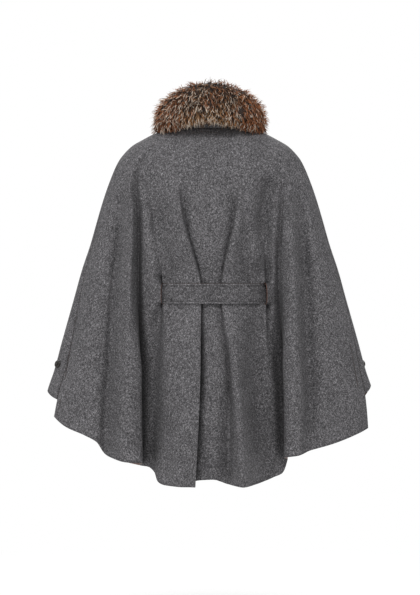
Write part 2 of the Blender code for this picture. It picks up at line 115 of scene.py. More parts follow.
# Buttons
BUTTON_DIAMETER = 0.028
VENT_BUTTON_DIAMETER = 0.018
BUTTON_THICKNESS = 0.0045
BUTTON_LIFT = WOOL_WALL / 2 + SEAM_GAP
BUTTON_PROFILE = (          # from the middle of the back round to the face: shares of radius and height
    (0.0, 0.0), (0.78, 0.0), (0.93, 0.12), (1.0, 0.42), (0.985, 0.72), (0.92, 0.95), (0.82, 1.0),
    (0.72, 0.90), (0.62, 0.62), (0.40, 0.52), (0.0, 0.50))
BUTTON_SEGMENTS = 48
BUTTON_FACE = 0.53          # the holes' height, as a share of the button's
BUTTON_HOLE_AT = 0.20       # the holes' places and sizes, as shares of the radius
BUTTON_HOLE_RADIUS = 0.085
BUTTON_THREAD_RADIUS = 0.05
FRONT_BUTTON_Z = (-0.120, -0.215, -0.310, -0.495)
VENT_BUTTON_Z = -0.560
LEFT_VENT_STATION = 0.5     # where the vents' buttons lie among each front's lines
RIGHT_VENT_STATION = 1.5

# Grid of a cloth panel
UPPER_ROWS = (0.006, 0.000, -0.012, -0.027, -0.043, -0.060, -0.085, -0.121, -0.170, -0.220, -0.270, -0.315,
              -0.342, BELT_Z + SLIT_HEIGHT / 2, BELT_Z, BELT_Z - SLIT_HEIGHT / 2)
SLIT_ROWS = (len(UPPER_ROWS) - 3, len(UPPER_ROWS) - 1)
LOWER_ROWS = (0.11, 0.27, 0.45, 0.64, 0.83, 1.0)      # shares of the way from the belt to the hem
COLUMNS_PER_FOLD = 2

Ring = namedtuple("Ring", "side_z half_width back_z back_depth front_z front_depth squareness")
RINGS = (
    Ring(0.006, 0.072, 0.000, 0.058, -0.058, 0.064, 2.00),      # neck edge
    Ring(0.001, 0.100, -0.011, 0.068, -0.073, 0.074, 2.00),
    Ring(-0.008, 0.131, -0.026, 0.079, -0.088, 0.084, 1.95),
    Ring(-0.022, 0.159, -0.045, 0.090, -0.104, 0.093, 1.90),
    Ring(-0.037, 0.185, -0.067, 0.099, -0.120, 0.100, 1.86),
    Ring(-0.054, 0.203, -0.090, 0.106, -0.137, 0.106, 1.84),    # point of the shoulder
    Ring(-0.072, 0.217, -0.111, 0.111, -0.152, 0.110, 1.82),
    Ring(-0.121, 0.239, -0.148, 0.117, -0.178, 0.117, 1.76),
    Ring(-0.170, 0.256, -0.184, 0.120, -0.202, 0.122, 1.70),
    Ring(-0.214, 0.269, -0.219, 0.121, -0.228, 0.124, 1.66),
    Ring(-0.274, 0.286, -0.274, 0.119, -0.274, 0.123, 1.62),    # level from here down
    Ring(-0.334, 0.306, -0.334, 0.116, -0.334, 0.120, 1.60),
    Ring(-0.406, 0.326, -0.406, 0.114, -0.406, 0.119, 1.60),    # waist
    Ring(-0.502, 0.353, -0.502, 0.117, -0.502, 0.122, 1.60),
    Ring(-0.576, 0.373, -0.576, 0.121, -0.576, 0.127, 1.60),
    Ring(-0.624, 0.389, -0.624, 0.124, -0.624, 0.130, 1.60),    # front corner of the wing
    Ring(-0.711, 0.407, -0.711, 0.129, -0.711, 0.135, 1.60),    # back corner of the wing
    Ring(-0.860, 0.430, -0.860, 0.137, -0.860, 0.142, 1.60),
)

# Where the side seam runs, as a share of the half width: 1 is on the outline, and less lies on the back.
SeamPoint = namedtuple("SeamPoint", "side_z left right")
SIDE_SEAM = (
    SeamPoint(0.006, 0.990, 0.990),
    SeamPoint(-0.170, 0.990, 0.990),
    SeamPoint(-0.274, 0.978, 0.988),
    SeamPoint(-0.406, 0.954, 0.988),
    SeamPoint(-0.514, 0.930, 0.972),
    SeamPoint(-0.640, 0.924, 0.944),
    SeamPoint(-0.711, 0.924, 0.926),
)

# Fold lines. x and out (the height of the fold over the plain cape) are given at five levels down the
# line: shoulder, chest, belt, skirt and hem. hem_z is where the line ends.
FOLD_LEVELS = (-0.072, -0.200, -0.391, -0.600)
Fold = namedtuple("Fold", "name x out hem_z")
BACK_FOLDS = (
    Fold("left wing corner", (.211, .254, .294, .328, .341), (0, .004, .008, .010, .008), -.707),
    Fold("left wing crest", (.206, .236, .264, .292, .298), (0, .005, .010, .012, .012), -.724),
    Fold("left wing step", (.200, .223, .244, .260, .266), (0, .001, .003, .004, .003), -.742),
    Fold("left wing hollow", (.195, .212, .229, .240, .246), (0, -.003, -.007, -.012, -.014), -.771),
    Fold("left wing rise", (.188, .198, .209, .218, .224), (0, .004, .006, .003, .000), -.780),
    Fold("left ridge", (.180, .185, .190, .197, .199), (.003, .012, .017, .018, .015), -.786),
    Fold("left wing fold", (.172, .176, .179, .161, .158), (-.001, -.001, -.003, -.006, -.007), -.790),
    Fold("left trough", (.165, .168, .169, .168, .166), (-.005, -.011, -.025, -.044, -.048), -.797),
    Fold("left trough inner", (.157, .156, .157, .151, .147), (0, -.001, -.014, -.036, -.040), -.800),
    Fold("left body edge", (.146, .144, .142, .138, .130), (0, .000, -.013, -.028, -.031), -.813),
    Fold("left slit outside", (.138, .132, .1155, .124, .121), (0, -.005, -.014, -.021, -.022), -.834),
    Fold("left slit inside", (.112, .110, .1075, .104, .102), (0, -.003, -.001, -.007, -.007), -.841),
    Fold("left body ridge", (.084, .080, .064, .056, .060), (0, .004, .001, .011, .014), -.842),
    Fold("pleat left lip", (.072, .067, .0235, .024, .035), (0, .006, .002, .010, .010), -.843),
    Fold("pleat left root", (.066, .060, .0195, .026, .038), (0, -.003, -.008, -.013, -.024), -.832),
    Fold("pleat floor left", (.052, .044, .010, .010, .016), (0, .000, -.004, .000, -.020), -.828),
    Fold("pleat floor middle", (.005, .003, -.004, -.010, -.008), (0, .004, -.002, .003, -.018), -.827),
    Fold("pleat floor right", (-.042, -.038, -.017, -.030, -.025), (0, .001, -.004, -.001, -.022), -.832),
    Fold("pleat right root", (-.060, -.055, -.025, -.045, -.041), (0, -.005, -.007, -.007, -.022), -.838),
    Fold("pleat right lip", (-.068, -.063, -.030, -.054, -.058), (0, .004, .000, .003, -.006), -.841),
    Fold("right body ridge", (-.082, -.079, -.058, -.066, -.078), (0, .001, .000, .006, .013), -.843),
    Fold("right body hollow", (-.104, -.100, -.095, -.098, -.109), (0, -.004, -.001, -.018, -.016), -.839),
    Fold("right slit inside", (-.126, -.122, -.1265, -.132, -.137), (0, -.009, .000, -.024, -.030), -.831),
    Fold("right slit outside", (-.140, -.136, -.1345, -.146, -.153), (0, -.007, -.014, -.030, -.036), -.824),
    Fold("right body edge", (-.152, -.152, -.151, -.165, -.172), (0, .000, -.022, -.045, -.047), -.815),
    Fold("right trough", (-.162, -.167, -.163, -.181, -.183), (-.003, -.008, -.030, -.046, -.044), -.784),
    Fold("right wing fold", (-.169, -.176, -.176, -.173, -.174), (0, .001, -.006, -.007, -.008), -.777),
    Fold("right ridge", (-.177, -.192, -.198, -.207, -.207), (.003, .010, .016, .018, .014), -.771),
    Fold("right wing hollow", (-.193, -.215, -.226, -.234, -.234), (0, -.003, -.007, -.010, -.002), -.761),
    Fold("right wing crest", (-.203, -.234, -.258, -.280, -.287), (0, .005, .010, .013, .011), -.746),
    Fold("right wing corner", (-.211, -.252, -.296, -.336, -.346), (0, .004, .008, .010, .008), -.725),
)
LEFT_BACK_CORNER_Z = -0.684
RIGHT_BACK_CORNER_Z = -0.711

# The front folds are the left front's, with x in from the side. The right front has its own hem.
FrontFold = namedtuple("FrontFold", "name x out left_hem_z right_hem_z")
FRONT_FOLDS = (
    FrontFold("wing edge", (.215, .260, .312, .362, .378), (0, 0, 0, .001, .001), -.634, -.630),
    FrontFold("wing corner", (.211, .248, .288, .328, .344), (0, .001, .003, .004, .004), -.664, -.680),
    FrontFold("wing crest", (.205, .230, .262, .292, .303), (0, .004, .008, .010, .010), -.702, -.716),
    FrontFold("wing hollow", (.197, .209, .228, .248, .256), (0, .000, -.006, -.012, -.014), -.748, -.744),
    FrontFold("ridge", (.189, .190, .194, .204, .208), (.002, .008, .014, .016, .014), -.805, -.766),
    FrontFold("trough", (.178, .173, .170, .166, .164), (-.003, -.012, -.026, -.040, -.044), -.809, -.780),
    FrontFold("trough inner", (.165, .159, .153, .147, .143), (0, .000, -.010, -.022, -.026), -.806, -.798),
    FrontFold("body edge", (.148, .142, .137, .134, .130), (0, .002, .002, -.002, -.004), -.814, -.812),
    FrontFold("slit outside", (.128, .124, .1160, .116, .116), (0, .002, .002, .002, .002), -.824, -.824),
    FrontFold("slit inside", (.108, .108, .1080, .100, .100), (0, .003, .002, .000, -.002), -.830, -.830),
    FrontFold("body fold", (.080, .080, .074, .070, .072), (0, .005, .001, .008, .011), -.834, -.834),
    FrontFold("body hollow", (.052, .052, .050, .048, .048), (0, .002, .001, -.003, -.005), -.836, -.836),
    FrontFold("placket", (.027, .027, .027, .027, .027), (0, 0, .001, .001, .001), -.837, -.837),
    FrontFold("middle", (.000, .000, .000, .000, .000), (0, 0, .001, .001, .001), -.837, -.837),
    FrontFold("front edge", (-FRONT_LAP,) * 5, (0, 0, .001, .001, .001), -.837, -.837),
)
LEFT_FRONT_CORNER_Z = (-0.643, -0.624)      # at the side seam, and on the outline
RIGHT_FRONT_CORNER_Z = (-0.629, -0.611)

# Outline of the fur all round the neck, to the tips of the hair. angle 0 is the middle of the back.
FurSection = namedtuple("FurSection", "degrees half_out middle_z half_height")
FUR_SECTIONS = (
    FurSection(0, 0.034, 0.065, 0.052),
    FurSection(35, 0.0345, 0.057, 0.049),
    FurSection(62, 0.034, 0.041, 0.045),
    FurSection(90, 0.0335, 0.020, 0.042),
    FurSection(118, 0.032, -0.008, 0.040),
    FurSection(145, 0.030, -0.034, 0.040),
    FurSection(171, 0.027, -0.053, 0.042),
)

# Fine grid of a cloth panel
FINE_COLUMNS = 6            # from one fold line to the next
FINE_UPPER = 4              # rows in each row gap of the tables, down to the belt's slits and past them
FINE_LOWER = 8
LEVEL_STEP = 0.003          # heights at which a panel's fold lines are worked out, and read between

# Soft creases besides the fold lines: a path of (x, z), the height out of the cloth, and the half width.
Crease = namedtuple("Crease", "name path height width")
BACK_CREASES = (
    Crease("yoke pull left", ((.066, -.108), (.04, -.15), (.018, -.193)), .003, .01),
    Crease("yoke pull middle", ((.018, -.193), (.004, -.16), (-.004, -.13)), .0026, .009),
    Crease("yoke pull right", ((-.004, -.13), (-.028, -.122), (-.05, -.118)), .0022, .009),
    Crease("yoke hollow", ((.03, -.112), (.02, -.14)), -.0024, .01),
    Crease("pleat pull left", ((.078, -.13), (.074, -.2), (.062, -.265), (.042, -.335)), .0034, .008),
    Crease("pleat hollow left", ((.062, -.14), (.06, -.2), (.05, -.265), (.03, -.335)), -.0034, .008),
    Crease("pleat pull right", ((-.07, -.14), (-.072, -.195), (-.062, -.265), (-.05, -.335)), .004, .009),
    Crease("pleat hollow right",
            ((-.06, -.15), (-.052, -.21), (-.044, -.265), (-.032, -.335)), -.001, .007),
    Crease("left yoke hollow", ((.146, -.125), (.122, -.195), (.114, -.265), (.1, -.345)), -.012, .022),
    Crease("right yoke ridge", ((-.09, -.12), (-.104, -.19), (-.098, -.24)), .0036, .011),
    Crease("right side hollow", ((-.14, -.13), (-.123, -.195), (-.126, -.265), (-.13, -.335)), -.015, .017),
    Crease("right waist fall", ((-.084, -.25), (-.088, -.3), (-.092, -.35)), -.012, .026),
    Crease("waist pull left", ((.146, -.33), (.105, -.346), (.06, -.362)), .0036, .006),
    Crease("waist pull left low", ((.12, -.352), (.085, -.36), (.05, -.364)), -.003, .005),
    Crease("waist pull right", ((-.075, -.334), (-.104, -.344), (-.128, -.356)), .003, .006),
    Crease("left wing line", ((.184, -.6), (.186, -.68), (.188, -.745)), .0016, .004),
    Crease("left wing line beside", ((.196, -.62), (.198, -.69), (.197, -.75)), -.0014, .004),
    Crease("left wing upper hollow", ((.218, -.18), (.214, -.265), (.22, -.335)), -.005, .014),
    Crease("left seam hollow", ((.29, -.331), (.314, -.453), (.328, -.523), (.34, -.593)), -.006, .012),
    Crease("right wing upper hollow", ((-.21, -.18), (-.212, -.265), (-.222, -.335)), -.004, .013),
    Crease("right wing crest", ((-.25, -.265), (-.276, -.39), (-.305, -.54), (-.32, -.62)), .003, .02),
    Crease("left skirt hollow", ((.128, -.445), (.128, -.6), (.13, -.734), (.136, -.8)), -.011, .014),
    Crease("left skirt ridge", ((.042, -.46), (.044, -.6), (.056, -.734), (.07, -.83)), .004, .012),
    Crease("pleat lip fall", ((.03, -.68), (.036, -.76), (.04, -.835)), -.005, .012),
    Crease("pleat floor hollow", ((-.034, -.64), (-.04, -.734), (-.042, -.83)), -.006, .014),
    Crease("right lip ridge", ((-.052, -.47), (-.062, -.6), (-.07, -.734), (-.08, -.83)), .0044, .01),
    Crease("right lip groove", ((-.04, -.5), (-.046, -.6), (-.047, -.68)), -.003, .006),
    Crease("right skirt fall", ((-.112, -.48), (-.114, -.6), (-.12, -.734), (-.132, -.83)), -.02, .028),
    Crease("left hem hollow", ((.104, -.76), (.1, -.84)), -.006, .014),
    Crease("pleat floor bow", ((.01, -.585), (-.012, -.6), (-.04, -.585)), .0024, .01),
    Crease("pleat floor dip", ((.012, -.64), (-.012, -.655), (-.038, -.64)), -.003, .016),
)
FRONT_CREASES = (
    Crease("left waist pull", ((.14, -.332), (.1, -.345), (.062, -.361)), .003, .006),
    Crease("right waist pull", ((-.136, -.336), (-.1, -.348), (-.066, -.362)), .003, .006),
    Crease("left chest pull", ((.07, -.15), (.082, -.22), (.088, -.3)), .0026, .012),
    Crease("right chest pull", ((-.072, -.16), (-.08, -.23), (-.09, -.31)), .0026, .012),
    Crease("left wing drag", ((.22, -.3), (.25, -.42), (.268, -.56)), .0024, .012),
    Crease("right wing drag", ((-.216, -.31), (-.246, -.43), (-.262, -.55)), -.0024, .012),
    Crease("left skirt drag", ((.092, -.44), (.088, -.56), (.09, -.7)), -.003, .012),
    Crease("right skirt drag", ((-.09, -.44), (-.094, -.58), (-.096, -.72)), -.0026, .012),
)
DRAPE_HEIGHT = 0.0022       # uneven hang of the cloth, in long soft waves
DRAPE_WAVE = (0.050, 0.210)     # their width and length
RIPPLE_HEIGHT = 0.0007      # and small dents
RIPPLE_WAVE = 0.030
OUTLINE_FADE = 0.040        # no crease stands at the side outline itself, where the back meets the front
SLIT_CUT_HALF = 0.004       # half the width of a belt slit between its two fold lines
SLIT_OPEN_HALF = 0.0043     # and of the pointed oval that it opens into, at its middle and at its ends
SLIT_END_HALF = 0.0008
SLIT_BLEND = 0.022          # past the belt's edges the step in the cloth softens to this half width
SLIT_BLEND_HEIGHT = 0.0025
PLEAT_EASE = 0.011          # near the hem the pleat's left root comes up by this much, towards its lip
PLEAT_EASE_ROOT = 15        # the root's place among the fold lines, and how many lines it takes along
PLEAT_EASE_WIDTH = 0.75
PLEAT_EASE_FROM = -0.590
PLEAT_EASE_FADE = 0.110
SLIT_GIVE = 1.5             # in fold lines, how far beside a slit the cloth gives way to its curve
SLIT_REACH = 2              # in halves of its height, how far up and down the cloth gives way
CREASE_REACH = 3            # in half widths, how far from its path a crease still counts
CAPE_HALVINGS = 20          # steps in which a height on the cape, or a station of the back, is closed in on
STATION_HALVINGS = 14

# Cut sizes of each cloth piece before it is sewn: width and length of the blank, and its area
Cut = namedtuple("Cut", "width length area")
BELT_CUT = Cut(1.01, 0.048, 0.0484)

# Fur
FUR_SKIN_DEPTH = 0.011      # from the tips of the hair down to the skin
FUR_SECTORS = 6             # the pelt is combed in this many pieces round the neck
FUR_SECTOR_SEGMENTS = 16
FUR_SECTOR_SIDES = 18
LOCK_LENGTH = 0.021
LOCK_RADIUS = 0.00085
LOCK_STEPS = 5
LOCK_SHAPES = 6
LOCK_SAG = 0.35
LOCK_TAPER = 2.2
LOCK_SPINS = (-1.1, 1.1)    # the least and the most turn, length and width that a lock is given at random
LOCK_LENGTHS = (0.72, 1.22)
LOCK_WIDTHS = (0.75, 1.3)

# Painted shade that darkens the wool's colour deep in a fold: how far it reaches, and how strong it is
FOLD_SHADE_REACH = 0.12
FOLD_SHADE = 1.1
STRAND_LENGTH = 2.3         # how far a fibre is drawn out, and the leans that fibres lie at
STRAND_LEANS = (0.62, -0.75)
WOOL_TONES = ((0.43, 0.32), (0.50, 0.68), (0.56, 1.12), (0.62, 1.90), (0.70, 3.1))      # at, and how light

# Camera and stage
CAMERA_DISTANCE = 5.0
CAMERA_Z = -0.40
CAMERA_LENS = 126.05        # along the picture's longer side
CAMERA_SENSOR = 36.0
KEY_PLACE = (0, 2.96, 3.12)         # lights: where they stand, and how wide they are
FRONT_KEY_PLACE = (0, -2.96, 3.12)
SIDE_PLACE = (3.5, 2.9, 0.24)
KEY_WIDTH = 1.2
SIDE_WIDTH = 0.9
FLOOR_Z = -1.30
FLOOR_RADIUS = 2.4
FLOOR_GLOW = 0.12

# Small parts
SHARP_EDGE = math.radians(50)
SLIT_BEAD_RADIUS = 0.0008
BELT_BAND = 0.0009          # the rust edge rolled over the top of the belt
BELT_STITCH_Z = 0.0190      # the lines of topstitching, from the belt's middle
BELT_GROOVE_WIDTH = 0.0016
BELT_GROOVE_DEPTH = 0.0004
BELT_ROLL = 0.0005          # how far the belt's edges turn in
BELT_SWAY = 0.0003
BELT_SWAY_WAVES = 14
BELT_SEGMENTS = 256
BELT_LEVELS = (0.0, BELT_HEIGHT / 2 * 0.45, BELT_STITCH_Z - 0.002, BELT_STITCH_Z, BELT_HEIGHT / 2 - 0.003)
BELT_TOP_LEVELS = (BELT_HEIGHT / 2 - BELT_BAND, BELT_HEIGHT / 2)
BELT_LOW_LEVELS = (-BELT_HEIGHT / 2, -BELT_HEIGHT / 2 + 0.0012)
STITCH_LENGTH = 0.0030
STITCH_RADIUS = 0.00035
STITCH_HEIGHT = STITCH_RADIUS * 1.3
STITCH_STEP = 0.001         # in shares of the belt's run, to either side of a stitch to find its direction
BELT_LINES = (              # lines along the belt: how far up from its middle, half their width, how light
    (0.0214, 0.0012, 1.45), (0.0180, 0.0014, 0.40), (-0.0212, 0.0012, 1.50), (-0.0180, 0.0011, 0.70))
BELT_LIGHTNESS = 0.86
BELT_TURN = (0.070, 0.125)  # where the belt turns from the light, going in to its slits, and is darkened there with painted shade
BELT_TURN_SHADE = 0.72
SEAM_LINE_RADIUS = 0.0007
SEAM_LINE_STEPS = 24
NECK_SEAM = ((0.046, -0.013), (0.020, -0.0085), (-0.005, -0.0095), (-0.026, -0.013))    # x and z on the back
SIDE_SEAMS = (((0.330, -0.511), (0.3536, -0.640), (0.363, -0.680)),
              ((-0.333, -0.511), (-0.352, -0.620)))

# How the fur lies and parts
FUR_GOLD = (0.470, 0.240, 0.085)
FUR_TURNS = (math.radians(-104), math.radians(212))      # the stretch of the section that hair grows on
FUR_CROWN = math.radians(100)       # where the hair parts to the outside and to the inside
CROWN_RISE = 0.8            # the share of its lie that the hair loses at the crown, and how wide that is
CROWN_RISE_WIDTH = 0.4
CROWN_SHORT = 0.30          # and the share of its length
CROWN_SHORT_WIDTH = 0.5
INNER_FADE = 0.8            # past the crown the hair turns to that of the inside, shorter and thinner
INNER_SHORT = 0.25
INNER_THIN = 0.45
FUR_THIN = 0.60             # share of the hair's depth that is left at the underside
FUR_STAND = 0.55
FUR_LIE = 0.80
FUR_DENSITY_MAX = 300000.0
FUR_SWIRL_SCALE = 60.0
FUR_SWIRL = 1.0
FUR_CROSS = 1.4
FUR_DRAW = 0.70
FUR_CURL_SCALE = 90.0
FUR_CURL = 0.010
Parting = namedtuple("Parting", "degrees depth width")
FUR_PARTINGS = (Parting(-38, 0.016, 3.5), Parting(52, 0.003, 6.0))


class Curve:
    """A smooth curve through a few points that never overshoots them, and is level past its ends."""

    def __init__(self, keys, values):
        pairs = sorted(zip(keys, values))
        self.keys = [key for key, _ in pairs]
        self.values = [value for _, value in pairs]
        spans = [b - a for a, b in zip(self.keys, self.keys[1:])]
        rises = [(b - a) / span for a, b, span in zip(self.values, self.values[1:], spans)]
        self.slopes = [rises[0]] + [self.middle_slope(*four) for four in
                                    zip(rises, rises[1:], spans, spans[1:])] + [rises[-1]]

    @staticmethod
    def middle_slope(before, after, span_before, span_after):
        if before * after <= 0:
            return 0.0
        weight_before = 2 * span_after + span_before
        weight_after = span_after + 2 * span_before
        return (weight_before + weight_after) / (weight_before / before + weight_after / after)

    def __call__(self, key):
        key = min(max(key, self.keys[0]), self.keys[-1])
        i = min(max(bisect_right(self.keys, key) - 1, 0), len(self.keys) - 2)
        span = self.keys[i + 1] - self.keys[i]
        t = (key - self.keys[i]) / span
        low, high = self.values[i], self.values[i + 1]
        bend_low, bend_high = self.slopes[i] * span, self.slopes[i + 1] * span
        return (low * (1 + 2 * t) * (1 - t) ** 2 + bend_low * t * (1 - t) ** 2
                + high * t * t * (3 - 2 * t) + bend_high * t * t * (t - 1))


def table_curve(rows, key, column):
    return Curve([getattr(row, key) for row in rows], [getattr(row, column) for row in rows])


RING_CURVES = {column: table_curve(RINGS, "side_z", column) for column in Ring._fields[1:]}
SEAM_CURVES = {1: table_curve(SIDE_SEAM, "side_z", "left"), -1: table_curve(SIDE_SEAM, "side_z", "right")}
FUR_CURVES = {column: table_curve(FUR_SECTIONS, "degrees", column) for column in FurSection._fields[1:]}


def ring_at(side_z):
    return Ring(side_z, *(RING_CURVES[column](side_z) for column in Ring._fields[1:]))


def signed_power(value, power):
    return math.copysign(abs(value) ** power, value)


def smooth_step(t):
    t = min(max(t, 0.0), 1.0)
    return t * t * (3 - 2 * t)


def cape_point(angle, side_z):
    """The plain cape: angle 0 is the middle of the back, 90 degrees the wearer's left side."""
    ring = ring_at(side_z)
    sine, cosine = math.sin(angle), math.cos(angle)
    power = 2 / ring.squareness
    depth = ring.back_depth if cosine >= 0 else ring.front_depth
    level = ring.back_z if cosine >= 0 else ring.front_z
    return Vector((ring.half_width * signed_power(sine, power), depth * signed_power(cosine, power),
                   level + (side_z - level) * sine * sine))


def share_angle(share, side_z):
    """The angle from the middle of the back, or of the front, to a share of the half width."""
    bend = ring_at(side_z).squareness / 2
    return math.copysign(math.asin(min(abs(share), 1.0) ** bend), share)


def cape_height(x, y):
    """The height of the plain cape over a point on the floor plan, outside the neck."""
    high, low = RINGS[0].side_z, RINGS[-1].side_z
    for _ in range(CAPE_HALVINGS):
        middle = (high + low) / 2
        ring = ring_at(middle)
        depth = ring.back_depth if y >= 0 else ring.front_depth
        reach = (abs(x) / ring.half_width) ** ring.squareness + (abs(y) / depth) ** ring.squareness
        if reach > 1:
            high = middle
        else:
            low = middle
    ring = ring_at(high)
    level = ring.back_z if y >= 0 else ring.front_z
    sine_squared = min(1.0, (abs(x) / ring.half_width) ** ring.squareness)
    return level + (high - level) * sine_squared


def belt_depth(x, front):
    """How far the middle of the belt's wall lies behind or before the body's middle plane."""
    depth = BELT_FRONT_DEPTH if front else BELT_BACK_DEPTH
    share = min(abs(x) / BELT_HALF_WIDTH, 1.0)
    return depth * (1 - share ** BELT_SQUARENESS) ** (1 / BELT_SQUARENESS)


class FoldLine:
    """One ridge, hollow or edge that runs down a panel from the neck."""

    def __init__(self, fold, hem_z, side=1, front=False):
        heights = (RINGS[0].side_z,) + FOLD_LEVELS + (hem_z,)
        shares = [side * x / ring_at(height).half_width for x, height in zip(fold.x, heights[1:])]
        self.share = Curve(heights, shares[:1] + shares)
        self.out = Curve(heights, (0,) + fold.out)
        self.hem_z = hem_z
        self.turn = side * math.pi if front else None
        self.beside_slit = "slit" in fold.name

    def angle(self, side_z):
        angle = share_angle(self.share(side_z), side_z)
        return angle if self.turn is None else self.turn - angle


class EdgeLine:
    """The side seam of a panel, or the outline that the front folds round: no fold height of its own."""

    def __init__(self, side, hem_z, gap, on_outline=False):
        self.side = side
        self.hem_z = hem_z
        self.gap = gap
        self.on_outline = on_outline
        self.beside_slit = False

    def angle(self, side_z):
        if self.on_outline:
            return self.side * math.pi / 2
        seam = share_angle(SEAM_CURVES[self.side](side_z), side_z)
        return self.side * (seam + self.gap / ring_at(side_z).back_depth)

    def out(self, side_z):
        return 0.0


def distance_to_path(path, x, z):
    nearest = math.inf
    for (x0, z0), (x1, z1) in zip(path, path[1:]):
        along_x, along_z = x1 - x0, z1 - z0
        share = ((x - x0) * along_x + (z - z0) * along_z) / (along_x ** 2 + along_z ** 2)
        share = min(max(share, 0.0), 1.0)
        nearest = min(nearest, math.hypot(x - x0 - share * along_x, z - z0 - share * along_z))
    return nearest


def crease_height(creases, place):
    """How far the soft creases and the uneven hang move the cloth out at a place."""
    height = DRAPE_HEIGHT * noise.noise(Vector((place.x / DRAPE_WAVE[0], 0.0, place.z / DRAPE_WAVE[1])))
    height += RIPPLE_HEIGHT * noise.noise(place / RIPPLE_WAVE)
    for crease in creases:
        distance = distance_to_path(crease.path, place.x, place.z) / crease.width
        if distance < CREASE_REACH:
            height += crease.height * math.exp(-distance ** 2)
    return height * smooth_step(abs(place.y) / OUTLINE_FADE)


def pleat_ease(station, z):
    from_root = (station - PLEAT_EASE_ROOT) / PLEAT_EASE_WIDTH
    return PLEAT_EASE * smooth_step((PLEAT_EASE_FROM - z) / PLEAT_EASE_FADE) * math.exp(-from_root ** 2)


def pressed_by_belt(x, depth, z, fold, front):
    """Between the slits the belt presses the cloth in. Past them the cloth passes over the belt."""
    slits = SLIT_FRONT_X if front else SLIT_BACK_X
    height = abs(z - BELT_Z)
    pull = 1 - smooth_step((height - PRESS_HALF_HEIGHT) / PRESS_FADE)
    if pull <= 0 or abs(x) > BELT_HALF_WIDTH * BELT_TURNS_AT:
        return depth
    past = max(x - slits[0], slits[1] - x)
    seat = belt_depth(x, front)
    slope = (belt_depth(x + SLOPE_STEP, front) - belt_depth(x - SLOPE_STEP, front)) / (2 * SLOPE_STEP)
    clear = BELT_SEAT * math.sqrt(1 + slope * slope)
    under = depth + pull * (seat - clear + min(fold, 0.0) - depth)
    lip = pull * (1 - smooth_step(max(past, 0.0) / SLIT_LIP_FADE))
    over = depth + lip * (max(depth, seat + clear) - depth)
    blend = SLIT_BLEND * smooth_step((height - BELT_HEIGHT / 2) / SLIT_BLEND_HEIGHT)
    if blend <= 0:
        return over if past > 0 else under
    return under + (over - under) * smooth_step((past + blend) / (2 * blend))


class Panel:
    """A cloth panel between its first and last line, with its hem, its creases and the belt's slits."""

    def __init__(self, lines, lap_in=0.0):
        self.lines = lines
        self.lap_in = lap_in
        self.stations = range(len(lines))
        edges = [i for i, line in enumerate(lines) if line.beside_slit]
        self.slits = list(zip(edges[::2], edges[1::2]))
        self.hem = Curve(self.stations, [line.hem_z for line in lines])
        self.run = 1 if lines[0].side < 0 else -1       # which way along x the stations run
        self.levels = {}

    def side_z(self, station, row):
        """The height on the outline that a row follows. Rows are the part's own, or lie between two."""
        below = row - len(UPPER_ROWS) + 1
        if below <= 0:
            above = min(int(row), len(UPPER_ROWS) - 2)
            return UPPER_ROWS[above] + (row - above) * (UPPER_ROWS[above + 1] - UPPER_ROWS[above])
        shares = (0.0,) + LOWER_ROWS
        above = min(int(below), len(shares) - 2)
        share = shares[above] + (below - above) * (shares[above + 1] - shares[above])
        return UPPER_ROWS[-1] + share * (self.hem(station) - UPPER_ROWS[-1])

    def curves_at(self, level):
        if level not in self.levels:
            side_z = level * LEVEL_STEP
            self.levels[level] = (Curve(self.stations, [line.angle(side_z) for line in self.lines]),
                                  Curve(self.stations, [line.out(side_z) for line in self.lines]))
        return self.levels[level]

    def slit_shift(self, station, z):
        """How far the cloth beside a slit moves along x, so that the slit opens in a pointed oval."""
        up = abs(z - BELT_Z) / (SLIT_HEIGHT / 2)
        if up > SLIT_REACH:
            return 0.0
        opening = SLIT_END_HALF + (SLIT_OPEN_HALF - SLIT_END_HALF) * math.sqrt(max(0.0, 1 - up * up))
        spread = (opening - SLIT_CUT_HALF) * (1 - smooth_step(up - 1))
        for low, high in self.slits:
            beside = station - (low + high) / 2
            past = max(abs(beside) - (high - low) / 2, 0.0)
            if past < SLIT_GIVE:
                side = min(max(beside / ((high - low) / 2), -1.0), 1.0)
                return self.run * side * spread * (1 - smooth_step(past / SLIT_GIVE))
        return 0.0

    def point(self, station, row):
        side_z = self.side_z(station, row)
        level = math.floor(side_z / LEVEL_STEP)
        share = side_z / LEVEL_STEP - level
        low, high = self.curves_at(level), self.curves_at(level + 1)
        angle = low[0](station) * (1 - share) + high[0](station) * share
        fold = low[1](station) * (1 - share) + high[1](station) * share
        place = cape_point(angle, side_z)
        place.x += self.slit_shift(station, place.z)
        front = math.cos(angle) < 0
        fold += crease_height(FRONT_CREASES if front else BACK_CREASES, place)
        if not front:
            fold += pleat_ease(station, place.z)
        depth = pressed_by_belt(place.x, abs(place.y) + fold, place.z, fold, front)
        place.y = -depth if front else depth
        if self.lap_in:
            under = self.lap_in * (1 - smooth_step((abs(place.x) - FRONT_LAP) / LAP_FADE))
            down = cape_point(math.pi, side_z - SLOPE_STEP) - cape_point(math.pi, side_z + SLOPE_STEP)
            place += under * Vector((0, -down.z, down.y)).normalized()
        return place


def table_row(fine_row):
    """Where a row of the fine grid lies between the part's own rows."""
    upper = (len(UPPER_ROWS) - 1) * FINE_UPPER
    if fine_row <= upper:
        return fine_row / FINE_UPPER
    return len(UPPER_ROWS) - 1 + (fine_row - upper) / FINE_LOWER


FINE_ROWS = (len(UPPER_ROWS) - 1) * FINE_UPPER + len(LOWER_ROWS) * FINE_LOWER


def back_panel_lines():
    lines = [EdgeLine(1, LEFT_BACK_CORNER_Z, -SEAM_GAP)]
    lines += [FoldLine(fold, fold.hem_z) for fold in BACK_FOLDS]
    return lines + [EdgeLine(-1, RIGHT_BACK_CORNER_Z, -SEAM_GAP)]


